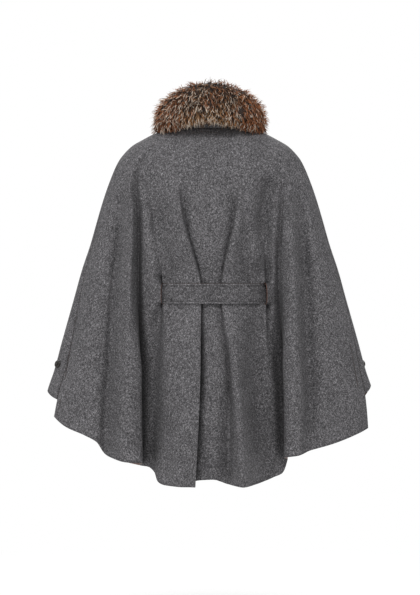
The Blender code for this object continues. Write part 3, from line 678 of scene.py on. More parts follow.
def front_panel_lines(side, corner_z):
    lines = [EdgeLine(side, corner_z[0], SEAM_GAP), EdgeLine(side, corner_z[1], SEAM_GAP, on_outline=True)]
    for fold in FRONT_FOLDS:
        hem_z = fold.left_hem_z if side > 0 else fold.right_hem_z
        lines.append(FoldLine(fold, hem_z, side, front=True))
    return lines


BACK = Panel(back_panel_lines())
FRONT_LEFT = Panel(front_panel_lines(1, LEFT_FRONT_CORNER_Z), lap_in=LAP_STEP)
FRONT_RIGHT = Panel(front_panel_lines(-1, RIGHT_FRONT_CORNER_Z))


def on_panel(panel, station, z):
    """A point of a panel's column at a height, and the direction straight out of it."""
    column = [panel.point(station, row) for row in range(len(UPPER_ROWS) + len(LOWER_ROWS))]
    above = max(row for row, point in enumerate(column[:-1]) if point.z >= z)
    down = column[above + 1] - column[above]
    place = column[above] + down * ((z - column[above].z) / down.z)
    half_column = 1 / COLUMNS_PER_FOLD
    across = panel.point(station + half_column, above) - panel.point(station - half_column, above)
    outward = across.cross(down).normalized()
    if outward.dot(Vector((place.x, place.y, 0))) < 0:
        outward.negate()
    return place, outward


def neck_outline(angle, inset):
    """A point of the neck edge, moved in, and the direction straight out from it."""
    edge = cape_point(angle, RINGS[0].side_z)
    half_width = RINGS[0].half_width
    depth = RINGS[0].back_depth if edge.y >= 0 else RINGS[0].front_depth
    outward = Vector((edge.x / half_width ** 2, edge.y / depth ** 2, 0)).normalized()
    return edge - outward * inset, outward


def belt_point(angle, out):
    sine, cosine = math.sin(angle), math.cos(angle)
    power = 2 / BELT_SQUARENESS
    depth = BELT_BACK_DEPTH if cosine >= 0 else BELT_FRONT_DEPTH
    middle = Vector((BELT_HALF_WIDTH * signed_power(sine, power), depth * signed_power(cosine, power), 0))
    outward = Vector((signed_power(middle.x / BELT_HALF_WIDTH, BELT_SQUARENESS - 1) / BELT_HALF_WIDTH,
                      signed_power(middle.y / depth, BELT_SQUARENESS - 1) / depth, 0)).normalized()
    return middle + outward * out


def placed_grid(columns, rows, place, closed=False, in_hole=None):
    """A grid whose points are put where place(column, row) says. closed makes it a tube."""
    grid = bmesh.new()
    bmesh.ops.create_grid(grid, x_segments=columns, y_segments=rows, size=1.0)
    if in_hole:
        cells = [(face, face.calc_center_median()) for face in grid.faces]
        gone = [face for face, middle in cells
                if in_hole((middle.x + 1) / 2 * columns, (middle.y + 1) / 2 * rows)]
        bmesh.ops.delete(grid, geom=gone, context="FACES")
    for point in grid.verts:
        column = round((point.co.x + 1) / 2 * columns)
        row = round((point.co.y + 1) / 2 * rows)
        point.co = place(column % columns if closed else column, row)
    if closed:
        bmesh.ops.remove_doubles(grid, verts=grid.verts, dist=1e-6)
    bmesh.ops.recalc_face_normals(grid, faces=grid.faces)
    return grid


def face_outward(grid):
    """Turns an open sheet's faces so that most of them look away from the body's middle line."""
    outward = sum(face.normal.dot(Vector((*face.calc_center_median().xy, 0))) for face in grid.faces)
    if outward < 0:
        bmesh.ops.reverse_faces(grid, faces=grid.faces)


def mesh_of(name, maker):
    mesh = bpy.data.meshes.new(name)
    maker.to_mesh(mesh)
    maker.free()
    return mesh


def linked_object(name, data):
    item = bpy.data.objects.new(name, data)
    bpy.context.scene.collection.objects.link(item)
    return item


def add_piece(name, maker, finishes, nodes=()):
    """Makes an object of a bmesh. It rides on the coat and stands for the named CAD nodes."""
    mesh = mesh_of(name, maker)
    mesh.shade_smooth()
    mesh.set_sharp_from_angle(angle=SHARP_EDGE)
    for finish in finishes:
        mesh.materials.append(finish)
    piece = linked_object(name, mesh)
    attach(piece, BODY)
    if nodes:
        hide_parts(*nodes)
    return piece


def give_wall(piece, thickness, inside=0, edges=0):
    """A wall on both sides of a sheet, with the numbers of the materials for its inside and its edges."""
    wall = piece.modifiers.new("Wall", "SOLIDIFY")
    wall.thickness = thickness
    wall.offset = 0.0
    wall.material_offset = inside
    wall.material_offset_rim = edges


def cloth_panel(name, panel):
    def in_slit(column, row):
        station = column / FINE_COLUMNS
        cell_row = table_row(row)
        in_rows = SLIT_ROWS[0] < cell_row < SLIT_ROWS[1]
        return in_rows and any(low < station < high for low, high in panel.slits)

    def place(column, row):
        return panel.point(column / FINE_COLUMNS, table_row(row))

    columns = (len(panel.lines) - 1) * FINE_COLUMNS
    grid = placed_grid(columns, FINE_ROWS, place, in_hole=in_slit)
    face_outward(grid)
    piece = add_piece(f"{name}_cloth", grid, (wool(), lining(), turned_edge()), [name])
    give_wall(piece, bpy.context.scene.coat_cloth.wall, inside=1, edges=2)
    return piece


def tube_along(maker, path, radius, sides=8, closed=False):
    """Adds a round bead along a path of points to a bmesh."""
    rings = []
    for i, point in enumerate(path):
        after = path[(i + 1) % len(path)] if closed else path[min(i + 1, len(path) - 1)]
        before = path[i - 1] if closed or i else path[0]
        turn = (after - before).to_track_quat("Z", "Y")
        matrix = Matrix.Translation(point) @ turn.to_matrix().to_4x4()
        ring = bmesh.ops.create_circle(maker, segments=sides, radius=radius, matrix=matrix)["verts"]
        rings.append(ring)
    pairs = list(zip(rings, rings[1:] + rings[:1])) if closed else list(zip(rings, rings[1:]))
    for first, second in pairs:
        edges = [edge for ring in (first, second) for edge in ring_edges(ring)]
        bmesh.ops.bridge_loops(maker, edges=edges)
    if not closed:
        for ring in (rings[0], rings[-1]):
            bmesh.ops.contextual_create(maker, geom=ring_edges(ring))


def ring_edges(ring):
    inside = set(ring)
    return [edge for edge in {edge for point in ring for edge in point.link_edges}
            if edge.verts[0] in inside and edge.verts[1] in inside]


def slit_beads():
    """The rust lining rolled out along the edges of the belt's slits."""
    maker = bmesh.new()
    rows = range(SLIT_ROWS[0] * FINE_UPPER, SLIT_ROWS[1] * FINE_UPPER + 1)
    for panel in (BACK, FRONT_LEFT, FRONT_RIGHT):
        for low, high in panel.slits:
            down = [panel.point(low, table_row(row)) for row in rows]
            up = [panel.point(high, table_row(row)) for row in reversed(rows)]
            tube_along(maker, down + up, SLIT_BEAD_RADIUS, closed=True)
    bmesh.ops.recalc_face_normals(maker, faces=maker.faces)
    add_piece("slit_edges", maker, [lining()])


def back_place(x, z):
    """The place on the outer face of the back at x and a height."""
    low, high = 0.0, len(BACK.lines) - 1.0
    for _ in range(STATION_HALVINGS):
        middle = (low + high) / 2
        place, outward = on_panel(BACK, middle, z)
        low, high = (middle, high) if place.x > x else (low, middle)
    return place + outward * bpy.context.scene.coat_cloth.wall / 2


def seam_lines():
    """The lines where pieces are sewn: below the fur, and down the sides of the wings."""
    maker = bmesh.new()
    for path in (NECK_SEAM, *SIDE_SEAMS):
        across, height = (Curve(range(len(path)), values) for values in zip(*path))
        shares = [i / SEAM_LINE_STEPS * (len(path) - 1) for i in range(SEAM_LINE_STEPS + 1)]
        line = [back_place(across(share), height(share)) for share in shares]
        tube_along(maker, line, SEAM_LINE_RADIUS, sides=6)
    bmesh.ops.recalc_face_normals(maker, faces=maker.faces)
    add_piece("seam_lines", maker, [turned_edge()])


def collar_stand():
    segments, rows = 120, 6

    def place(column, row):
        angle = (column / segments * 2 - 1) * (math.pi - STAND_OPEN)
        in_lap = smooth_step((abs(angle) - STAND_LAP_FROM) / STAND_LAP_TURN)
        point, _ = neck_outline(angle, STAND_INSET + in_lap * LAP_STEP)
        point.z += STAND_HEIGHT * row / rows - STAND_BELOW
        return point

    grid = placed_grid(segments, rows, place)
    face_outward(grid)
    piece = add_piece("collar_stand_cloth", grid, (wool(), lining(), turned_edge()), ["collar_stand"])
    give_wall(piece, bpy.context.scene.coat_cloth.wall, inside=1, edges=2)


def belt_place(share, z):
    """A point of the belt's middle surface: share runs along it, and z up from its middle line."""
    lap_angle = BELT_LAP / 2 / BELT_FRONT_DEPTH
    angle = -math.pi - lap_angle * BELT_STARTS + share * (2 * math.pi + lap_angle * BELT_PAST_TURN)
    over = smooth_step((share - BELT_OVER_FROM) / BELT_OVER_FADE)
    groove = math.exp(-((abs(z) - BELT_STITCH_Z) / BELT_GROOVE_WIDTH) ** 2) * BELT_GROOVE_DEPTH
    roll = BELT_ROLL * smooth_step((abs(z) - BELT_STITCH_Z) / (BELT_HEIGHT / 2 - BELT_STITCH_Z))
    sway = BELT_SWAY * noise.noise(Vector((share * BELT_SWAY_WAVES, 0.0, z / BELT_HEIGHT)))
    point = belt_point(angle, over * (BELT_WALL + SEAM_GAP) - groove - roll + sway)
    point.z = BELT_Z + z
    return point


def belt():
    levels = [*BELT_LOW_LEVELS, *(-level for level in BELT_LEVELS[:0:-1]), *BELT_LEVELS, *BELT_TOP_LEVELS]

    def place(column, row):
        return belt_place(column / BELT_SEGMENTS, levels[row])

    grid = placed_grid(BELT_SEGMENTS, len(levels) - 1, place)
    face_outward(grid)
    band_from = BELT_Z + BELT_HEIGHT / 2 - BELT_BAND
    for face in grid.faces:
        face.material_index = 1 if face.calc_center_median().z > band_from else 0
    piece = add_piece("belt_cloth", grid, (belt_wool(), turned_edge()), ["belt"])
    give_wall(piece, bpy.context.scene.coat_belt.wall)


def belt_stitches():
    maker = bmesh.new()
    count = int(BELT_CUT.width / bpy.context.scene.coat_belt.stitch_pitch)
    for row in (-1, 1):
        for i in range(count):
            share = (i + 0.5) / count
            before, here, after = (belt_place(share + step, row * BELT_STITCH_Z)
                                   for step in (-STITCH_STEP, 0.0, STITCH_STEP))
            along = after - before
            out = Vector((-along.y, along.x, 0)).normalized()
            if out.dot(Vector((here.x, here.y, 0))) < 0:
                out.negate()
            turn = along.to_track_quat("X", "Z").to_matrix().to_4x4()
            size = Matrix.Diagonal((STITCH_LENGTH / 2, STITCH_RADIUS, STITCH_HEIGHT, 1.0))
            matrix = Matrix.Translation(here + out * BELT_WALL / 2) @ turn @ size
            bmesh.ops.create_uvsphere(maker, u_segments=8, v_segments=5, radius=1.0, matrix=matrix)
    add_piece("belt_stitches", maker, [thread()])


def horn_button(radius, place, outward, node):
    """A turned button with a raised rim, a dished face, four holes and its crossed thread."""
    rise = BUTTON_THICKNESS
    turned = bmesh.new()
    points = [turned.verts.new((radius * across, 0.0, rise * up)) for across, up in BUTTON_PROFILE]
    for first, second in zip(points, points[1:]):
        turned.edges.new((first, second))
    bmesh.ops.spin(turned, geom=turned.verts[:] + turned.edges[:], cent=(0, 0, 0), axis=(0, 0, 1),
                   angle=2 * math.pi, steps=BUTTON_SEGMENTS, use_merge=True)
    bmesh.ops.remove_doubles(turned, verts=turned.verts, dist=1e-6)
    bmesh.ops.recalc_face_normals(turned, faces=turned.faces)
    horn_faces = len(turned.faces)
    hole_at = radius * BUTTON_HOLE_AT
    hole_radius = radius * BUTTON_HOLE_RADIUS
    face_z = rise * BUTTON_FACE
    corners = [Vector((x * hole_at, y * hole_at, face_z)) for x, y in ((1, 1), (-1, 1), (-1, -1), (1, -1))]
    for corner in corners:
        bmesh.ops.create_cone(turned, cap_ends=True, segments=12, radius1=hole_radius, radius2=hole_radius,
                              depth=rise * 0.08, matrix=Matrix.Translation(corner))
    lift = Vector((0, 0, rise * 0.10))
    shoulder = lift + Vector((0, 0, face_z * 0.3))
    for first, second in zip(corners[:2], corners[2:]):
        over = [first, first * 0.7 + shoulder, Vector((0, 0, face_z)) + lift * 1.6,
                second * 0.7 + shoulder, second]
        tube_along(turned, over, radius * BUTTON_THREAD_RADIUS, sides=6)
    turned.faces.ensure_lookup_table()
    for face in turned.faces[horn_faces:]:
        face.material_index = 1
    turn = outward.to_track_quat("Z", "Y").to_matrix().to_4x4()
    bmesh.ops.transform(turned, verts=turned.verts, matrix=Matrix.Translation(place) @ turn)
    add_piece(f"{node}_horn", turned, (horn(), thread()), [node])


def sewn_button(width, panel, station, z, name):
    place, outward = on_panel(panel, station, z)
    horn_button(width / 2, place + outward * BUTTON_LIFT, outward, f"button_{name}")


def fur_place(angle, turn, depth):
    """A point in the fur: angle goes round the neck, turn round its section, and depth in from the tips."""
    depth *= FUR_THIN + (1 - FUR_THIN) * smooth_step(1.0 + math.sin(turn))
    degrees = abs(math.degrees(angle))
    past = (abs(angle) - (FUR_ENDS - FUR_END_ROUNDING)) / FUR_END_ROUNDING
    size = math.sqrt(max(0.0, 1 - max(0.0, past) ** 2))
    half_out, half_height = FUR_CURVES["half_out"](degrees), FUR_CURVES["half_height"](degrees)
    start, outward = neck_outline(angle, 0.0)
    point = start + outward * (FUR_INSIDE + half_out + size * (half_out - depth) * math.cos(turn))
    parting = sum(part.depth * math.exp(-((math.degrees(angle) - part.degrees) / part.width) ** 2)
                  for part in FUR_PARTINGS) * max(0.0, math.cos(turn * 0.8))
    point -= outward * parting
    point.z = FUR_CURVES["middle_z"](degrees) + size * (half_height - depth) * math.sin(turn)
    point.z = max(point.z, cape_height(point.x, point.y) + FUR_SEAT)
    return point


def fur_skin():
    """The dark, dense underfur that the locks stand on."""
    sides, segments = 24, 96

    def place(column, row):
        return fur_place((row / segments * 2 - 1) * FUR_ENDS, 2 * math.pi * column / sides, FUR_SKIN_DEPTH)

    grid = placed_grid(sides, segments, place, closed=True)
    add_piece("fur_skin", grid, [underfur()], ["collar_fur"])


def lock_shape(index, droop, wave):
    """One tapering lock of hair along +Z, bent over towards +X."""
    maker = bmesh.new()
    tip = maker.verts.layers.float.new("tip")
    ring = bmesh.ops.create_circle(maker, segments=3, radius=LOCK_RADIUS)["verts"]
    bmesh.ops.contextual_create(maker, geom=ring_edges(ring))
    middle = Vector()
    for step in range(1, LOCK_STEPS + 1):
        share = step / LOCK_STEPS
        grown = bmesh.ops.extrude_edge_only(maker, edges=ring_edges(ring))["geom"]
        ring = [part for part in grown if isinstance(part, bmesh.types.BMVert)]
        next_middle = Vector((droop * share ** 2 + wave * math.sin(share * math.tau), 0.0,
                              share - LOCK_SAG * abs(droop) * share ** 2)) * LOCK_LENGTH
        bmesh.ops.translate(maker, verts=ring, vec=next_middle - middle)
        middle = next_middle
        width = (1 - share ** LOCK_TAPER) / (1 - ((step - 1) / LOCK_STEPS) ** LOCK_TAPER)
        for point in ring:
            point.co = middle + (point.co - middle) * width
            point[tip] = share
    bmesh.ops.pointmerge(maker, verts=ring, merge_co=middle)
    bmesh.ops.recalc_face_normals(maker, faces=maker.faces)
    mesh = mesh_of(f"lock_{index}", maker)
    mesh.shade_smooth()
    mesh.materials.append(fur_hair())
    return bpy.data.objects.new(f"lock_{index}", mesh)


def comb_nodes(shapes):
    """Geometry Nodes that set locks on a skin, lay them its way and draw their tips together in tufts."""
    coat = bpy.context.scene.coat_fur
    tree = bpy.data.node_groups.new("comb", "GeometryNodeTree")
    tree.interface.new_socket("Geometry", in_out="INPUT", socket_type="NodeSocketGeometry")
    tree.interface.new_socket("Geometry", in_out="OUTPUT", socket_type="NodeSocketGeometry")
    skin = tree.nodes.new("NodeGroupInput").outputs[0]

    def node(kind, values=None, **settings):
        return new_node(tree, kind, values, **settings)

    def math_of(operation, first, second=0.0, third=0.0):
        return node("ShaderNodeMath", {0: first, 1: second, 2: third}, operation=operation).outputs[0]

    def vector_of(operation, first, second=None, scale=None):
        values = {0: first}
        if second is not None:
            values[1] = second
        if scale is not None:
            values["Scale"] = scale
        return node("ShaderNodeVectorMath", values, operation=operation).outputs[0]

    def centred(colour):
        return vector_of("SUBTRACT", colour, (0.5, 0.5, 0.5))

    def stored(name, kind="FLOAT"):
        return live_output(node("GeometryNodeInputNamedAttribute", {"Name": name}, data_type=kind))

    def random(low, high, seed, kind="FLOAT"):
        values = {"Min": low, "Max": high, "Seed": seed}
        return live_output(node("FunctionNodeRandomValue", values, data_type=kind))

    points = node("GeometryNodeDistributePointsOnFaces",
                  {"Mesh": skin, "Distance Min": coat.spacing, "Density Max": FUR_DENSITY_MAX,
                   "Density Factor": stored("thickness")}, distribute_method="POISSON").outputs["Points"]
    place = node("GeometryNodeInputPosition").outputs[0]
    tuft = node("ShaderNodeTexVoronoi", {"Vector": place, "Scale": 1 / coat.tuft_width, "Randomness": 1.0})
    swirl = node("ShaderNodeTexNoise", {"Vector": place, "Scale": FUR_SWIRL_SCALE, "Detail": 2.0})
    swirl = centred(swirl.outputs["Color"])
    lay = vector_of("ADD", stored("lay", "FLOAT_VECTOR"), vector_of("SCALE", swirl, scale=FUR_SWIRL))
    own_way = centred(tuft.outputs["Color"])
    lay = vector_of("ADD", lay, vector_of("SCALE", own_way, scale=FUR_CROSS))
    drawn = vector_of("SUBTRACT", tuft.outputs["Position"], place)
    lay = vector_of("ADD", lay, vector_of("SCALE", drawn, scale=FUR_DRAW / LOCK_LENGTH))
    turn = node("FunctionNodeAlignRotationToVector", {"Vector": lay}, axis="Z").outputs[0]
    turn = node("FunctionNodeAlignRotationToVector", {"Rotation": turn, "Vector": (0.0, 0.0, -1.0)},
                axis="X", pivot_axis="Z").outputs[0]
    spin = node("ShaderNodeCombineXYZ", {"Z": random(*LOCK_SPINS, 3)}).outputs[0]
    spin = node("FunctionNodeEulerToRotation", {0: spin}).outputs[0]
    turn = node("FunctionNodeRotateRotation", {"Rotation": turn, "Rotate By": spin},
                rotation_space="LOCAL").outputs[0]
    length = math_of("MULTIPLY", stored("length"), random(*LOCK_LENGTHS, 5))
    width = random(*LOCK_WIDTHS, 7)
    size = node("ShaderNodeCombineXYZ", {"X": width, "Y": width, "Z": length}).outputs[0]
    pick = random(0, LOCK_SHAPES - 1, 11, "INT")
    locks = node("GeometryNodeCollectionInfo", {"Collection": shapes, "Separate Children": True,
                                                "Reset Children": True}).outputs[0]
    values = {"Points": points, "Instance": locks, "Pick Instance": True, "Instance Index": pick,
              "Rotation": turn, "Scale": size}
    hair = node("GeometryNodeInstanceOnPoints", values).outputs[0]
    cell = node("FunctionNodeSeparateColor", {0: tuft.outputs["Color"]}).outputs[0]
    for name, value in (("tone", random(0.0, 1.0, 13)), ("cell", cell)):
        hair = node("GeometryNodeStoreNamedAttribute", {"Geometry": hair, "Name": name, "Value": value},
                    data_type="FLOAT", domain="INSTANCE").outputs[0]
    hair = node("GeometryNodeRealizeInstances", {"Geometry": hair}).outputs[0]
    curl = node("ShaderNodeTexNoise", {"Vector": place, "Scale": FUR_CURL_SCALE, "Detail": 1.0})
    curl = vector_of("SCALE", centred(curl.outputs["Color"]),
                     scale=math_of("MULTIPLY", stored("tip"), FUR_CURL))
    hair = node("GeometryNodeSetPosition", {"Geometry": hair, "Offset": curl}).outputs[0]
    leave = tree.nodes.new("NodeGroupOutput")
    tree.links.new(hair, leave.inputs[0])
    return tree


def hair_lay(angle, turn):
    """The direction that the hair lies in, with its length and how thickly it grows."""
    def skin(past=0.0, turned=0.0):
        return fur_place(angle + past, turn + turned, FUR_SKIN_DEPTH)

    along = skin(past=0.01) - skin(past=-0.01)
    up = skin(turned=0.02) - skin(turned=-0.02)
    outward = along.cross(up).normalized()
    if outward.dot(skin() - fur_place(angle, turn, FUR_SKIN_DEPTH * 1.5)) < 0:
        outward.negate()
    down = up.normalized() * (-1 if turn < FUR_CROWN else 1)
    past_crown = turn - FUR_CROWN
    lie = FUR_LIE * (1 - CROWN_RISE * math.exp(-(past_crown / CROWN_RISE_WIDTH) ** 2))
    inner = smooth_step(past_crown / INNER_FADE)
    short = CROWN_SHORT * math.exp(-(past_crown / CROWN_SHORT_WIDTH) ** 2)
    return outward * FUR_STAND + down * lie, 1 - INNER_SHORT * inner - short, 1 - INNER_THIN * inner


def fur_sector(index, tree):
    """One stretch of the pelt, combed and made a plain mesh."""
    start = (index / FUR_SECTORS * 2 - 1) * FUR_ENDS
    reach = 2 * FUR_ENDS / FUR_SECTORS
    low, high = FUR_TURNS
    grid = bmesh.new()
    bmesh.ops.create_grid(grid, x_segments=FUR_SECTOR_SIDES, y_segments=FUR_SECTOR_SEGMENTS, size=1.0)
    lay = grid.verts.layers.float_vector.new("lay")
    length = grid.verts.layers.float.new("length")
    thickness = grid.verts.layers.float.new("thickness")
    for point in grid.verts:
        angle = start + reach * (point.co.y + 1) / 2
        turn = low + (high - low) * (point.co.x + 1) / 2
        point.co = fur_place(angle, turn, FUR_SKIN_DEPTH)
        point[lay], point[length], point[thickness] = hair_lay(angle, turn)
    pelt = linked_object("pelt", mesh_of("pelt", grid))
    pelt.modifiers.new("Comb", "NODES").node_group = tree
    depsgraph = bpy.context.evaluated_depsgraph_get()
    combed = bpy.data.meshes.new_from_object(pelt.evaluated_get(depsgraph), preserve_all_data_layers=True,
                                             depsgraph=depsgraph)
    bpy.data.objects.remove(pelt, do_unlink=True)
    piece = linked_object(f"fur_locks_{index + 1}", combed)
    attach(piece, BODY)


def live_socket(sockets, name):
    """A node's socket by its number, or by its name among those that its settings leave in use."""
    if isinstance(name, int):
        return sockets[name]
    return next(socket for socket in sockets if socket.name == name and socket.enabled)


def live_output(node):
    return next(socket for socket in node.outputs if socket.enabled)


def feed(tree, socket, value):
    """Sets a value on a node's input, or links it there if it is a socket."""
    if isinstance(value, bpy.types.NodeSocket):
        tree.links.new(value, socket)
    else:
        socket.default_value = value


def new_node(tree, kind, values=None, **settings):
    """Adds a node to a tree, with settings, and with values by the names of its inputs."""
    node = tree.nodes.new(kind)
    for name, value in settings.items():
        setattr(node, name, value)
    for name, value in (values or {}).items():
        feed(tree, live_socket(node.inputs, name), value)
    return node


class Finish:
    """A material in the making, with short ways to add its nodes."""

    def __init__(self, name, **shader_values):
        self.material = bpy.data.materials.new(name)
        self.material.use_nodes = True
        self.tree = self.material.node_tree
        self.shader = self.tree.nodes["Principled BSDF"]
        for key, value in shader_values.items():
            self.shader.inputs[key.replace("_", " ")].default_value = value
        self.place = new_node(self.tree, "ShaderNodeTexCoord").outputs["Object"]

    def drawn_out(self, lean, length):
        """Coordinates that draw a pattern out along a line in the plane of the back, leaning from upright."""
        values = {"Vector": self.place, "Rotation": (0, lean, 0), "Scale": (1, 1, length)}
        return new_node(self.tree, "ShaderNodeMapping", values, vector_type="TEXTURE").outputs[0]

    def noise(self, scale, detail=2.0, roughness=0.5, distortion=0.0, at=None):
        values = {"Vector": at or self.place, "Scale": scale, "Detail": detail, "Roughness": roughness,
                  "Distortion": distortion}
        return new_node(self.tree, "ShaderNodeTexNoise", values).outputs["Fac"]

    def math(self, operation, first, second=0.0):
        return new_node(self.tree, "ShaderNodeMath", {0: first, 1: second}, operation=operation).outputs[0]

    def weighted(self, *parts):
        """The sum of values, each times its weight."""
        shares = [self.math("MULTIPLY", value, weight) for value, weight in parts]
        total = shares[0]
        for share in shares[1:]:
            total = self.math("ADD", total, share)
        return total

    def ranged(self, value, low, high, to_low=0.0, to_high=1.0):
        values = {"Value": value, "From Min": low, "From Max": high, "To Min": to_low, "To Max": to_high}
        return new_node(self.tree, "ShaderNodeMapRange", values, interpolation_type="SMOOTHSTEP").outputs[0]

    def ramp(self, value, *stops):
        node = new_node(self.tree, "ShaderNodeValToRGB", {"Fac": value})
        elements = node.color_ramp.elements
        elements[0].position, elements[-1].position = stops[0][0], stops[-1][0]
        for position, _ in stops[1:-1]:
            elements.new(position)
        for element, (_, colour) in zip(elements, stops):
            element.color = (*colour, 1.0)
        return node.outputs["Color"]

    def mixed(self, share, first, second, how="MIX"):
        node = new_node(self.tree, "ShaderNodeMix", data_type="RGBA", blend_type=how)
        for name, value in (("Factor", share), ("A", first), ("B", second)):
            value = (*value, 1.0) if isinstance(value, tuple) else value
            feed(self.tree, live_socket(node.inputs, name), value)
        return live_output(node)

    def attribute(self, name):
        return new_node(self.tree, "ShaderNodeAttribute", attribute_name=name).outputs["Fac"]

    def openness(self, reach):
        """Painted shade: white in the open and dark deep in a fold, within reach of it."""
        shade = new_node(self.tree, "ShaderNodeAmbientOcclusion", {"Distance": reach}, samples=8,
                         only_local=True)
        return self.math("POWER", shade.outputs["AO"], FOLD_SHADE)

    def bump(self, height, distance, strength=1.0):
        values = {"Height": height, "Distance": distance, "Strength": strength}
        normal = new_node(self.tree, "ShaderNodeBump", values).outputs[0]
        self.tree.links.new(normal, self.shader.inputs["Normal"])

    def colour(self, value):
        self.tree.links.new(value, self.shader.inputs["Base Color"])

    def roughness(self, value):
        self.tree.links.new(value, self.shader.inputs["Roughness"])


def finish_once(make):
    """Keeps one material for each finish, however many pieces wear it."""
    name = f"coat_{make.__name__}"

    def found():
        return bpy.data.materials.get(name) or make(name)

    return found


def scaled(colour, factor):
    return tuple(min(channel * factor, 1.0) for channel in colour)


def heather(name):
    """Brushed heather wool: short curved light and dark fibres on a charcoal ground."""
    cloth = bpy.context.scene.coat_cloth
    finish = Finish(name, Roughness=0.92, Sheen_Weight=0.05, Sheen_Roughness=0.55, Specular_IOR_Level=0.2)
    ground = tuple(cloth.colour)
    strands = [finish.noise(cloth.fleck_scale, distortion=0.8, at=finish.drawn_out(lean, STRAND_LENGTH))
               for lean in STRAND_LEANS]
    strands = finish.math("MAXIMUM", *strands)
    speck = finish.noise(cloth.fleck_scale * 0.9, distortion=0.4)
    cloud = finish.noise(16.0, detail=3.0, roughness=0.6)
    value = finish.weighted((strands, 0.60), (speck, 0.34), (cloud, 0.06))
    colour = finish.ramp(value, *((at, scaled(ground, lightness)) for at, lightness in WOOL_TONES))
    finish.bump(value, 0.0012, 0.8)
    # The wool's colour is multiplied by painted shade that darkens it deep in the folds
    return finish, finish.mixed(1.0, colour, finish.openness(FOLD_SHADE_REACH), "MULTIPLY")


@finish_once
def wool(name):
    finish, colour = heather(name)
    finish.colour(colour)
    return finish.material


@finish_once
def belt_wool(name):
    """The same wool with its edges turned and topstitched, and painted shade where the belt goes in to its
    slits.
    """
    finish, colour = heather(name)
    parts = new_node(finish.tree, "ShaderNodeSeparateXYZ", {0: finish.place}).outputs
    # Painted shade: the belt's colour falls from BELT_LIGHTNESS to BELT_TURN_SHADE where it turns in to its
    # slits
    light = finish.ranged(finish.math("ABSOLUTE", parts["X"]), *BELT_TURN, BELT_LIGHTNESS, BELT_TURN_SHADE)
    broken = finish.ranged(finish.noise(160.0, at=finish.drawn_out(math.pi / 2, 2.0)), 0.38, 0.56)
    for up, half, lightness in BELT_LINES:
        beside = finish.math("ABSOLUTE", finish.math("SUBTRACT", parts["Z"], BELT_Z + up))
        line = finish.math("MULTIPLY", finish.ranged(beside, half * 0.4, half * 1.3, 1.0, 0.0), broken)
        light = finish.math("MULTIPLY", light, finish.ranged(line, 0.0, 1.0, 1.0, lightness))
    finish.colour(finish.mixed(1.0, colour, light, "MULTIPLY"))
    return finish.material


@finish_once
def lining(name):
    """Rust-brown satin with a fine twill."""
    finish = Finish(name, Roughness=0.48, Sheen_Weight=0.15, Specular_IOR_Level=0.4)
    twill = finish.drawn_out(0.8, 5.0)
    thread_noise = finish.noise(900.0, at=twill)
    cloud = finish.noise(20.0, detail=3.0)
    value = finish.weighted((thread_noise, 0.5), (cloud, 0.5))
    colour = tuple(bpy.context.scene.coat_cloth.lining_colour)
    finish.colour(finish.ramp(value, (0.3, scaled(colour, 0.55)), (0.5, colour), (0.75, scaled(colour, 1.5))))
    finish.bump(thread_noise, 0.0003, 0.5)
    return finish.material


@finish_once
def turned_edge(name):
    """The cut edges, where the wool turns in over the brown lining."""
    finish = Finish(name, Roughness=0.9, Sheen_Weight=0.2)
    value = finish.noise(420.0, detail=3.0, roughness=0.6)
    finish.colour(finish.ramp(value, (0.35, (0.012, 0.010, 0.010)), (0.55, (0.045, 0.032, 0.028)),
                              (0.75, (0.110, 0.062, 0.044))))
    finish.bump(value, 0.0006, 0.7)
    return finish.material


@finish_once
def thread(name):
    """Twisted dark sewing thread."""
    finish = Finish(name, Roughness=0.6, Sheen_Weight=0.1)
    value = finish.noise(2600.0, detail=1.0)
    finish.colour(finish.ramp(value, (0.35, (0.008, 0.007, 0.007)), (0.7, (0.035, 0.028, 0.026))))
    finish.bump(value, 0.0001, 0.6)
    return finish.material


@finish_once
def horn(name):
    """Dark polished horn with paler cloudy streaks."""
    finish = Finish(name, Roughness=0.28, Coat_Weight=0.35, Coat_Roughness=0.12, Specular_IOR_Level=0.5)
    streaks = finish.drawn_out(0.5, 3.3)
    value = finish.noise(150.0, detail=4.0, roughness=0.55, distortion=1.5, at=streaks)
    colour = tuple(bpy.context.scene.coat_buttons.colour)
    finish.colour(finish.ramp(value, (0.35, scaled(colour, 0.5)), (0.55, colour), (0.70, scaled(colour, 3.2)),
                              (0.85, scaled(colour, 7.0))))
    finish.bump(finish.noise(900.0), 0.00006, 0.4)
    return finish.material


@finish_once
def underfur(name):
    finish = Finish(name, Roughness=0.9, Sheen_Weight=0.2)
    value = finish.noise(380.0, detail=3.0, roughness=0.6)
    finish.colour(finish.ramp(value, (0.35, (0.010, 0.006, 0.004)), (0.65, (0.050, 0.026, 0.016))))
    finish.bump(value, 0.003, 1.0)
    return finish.material


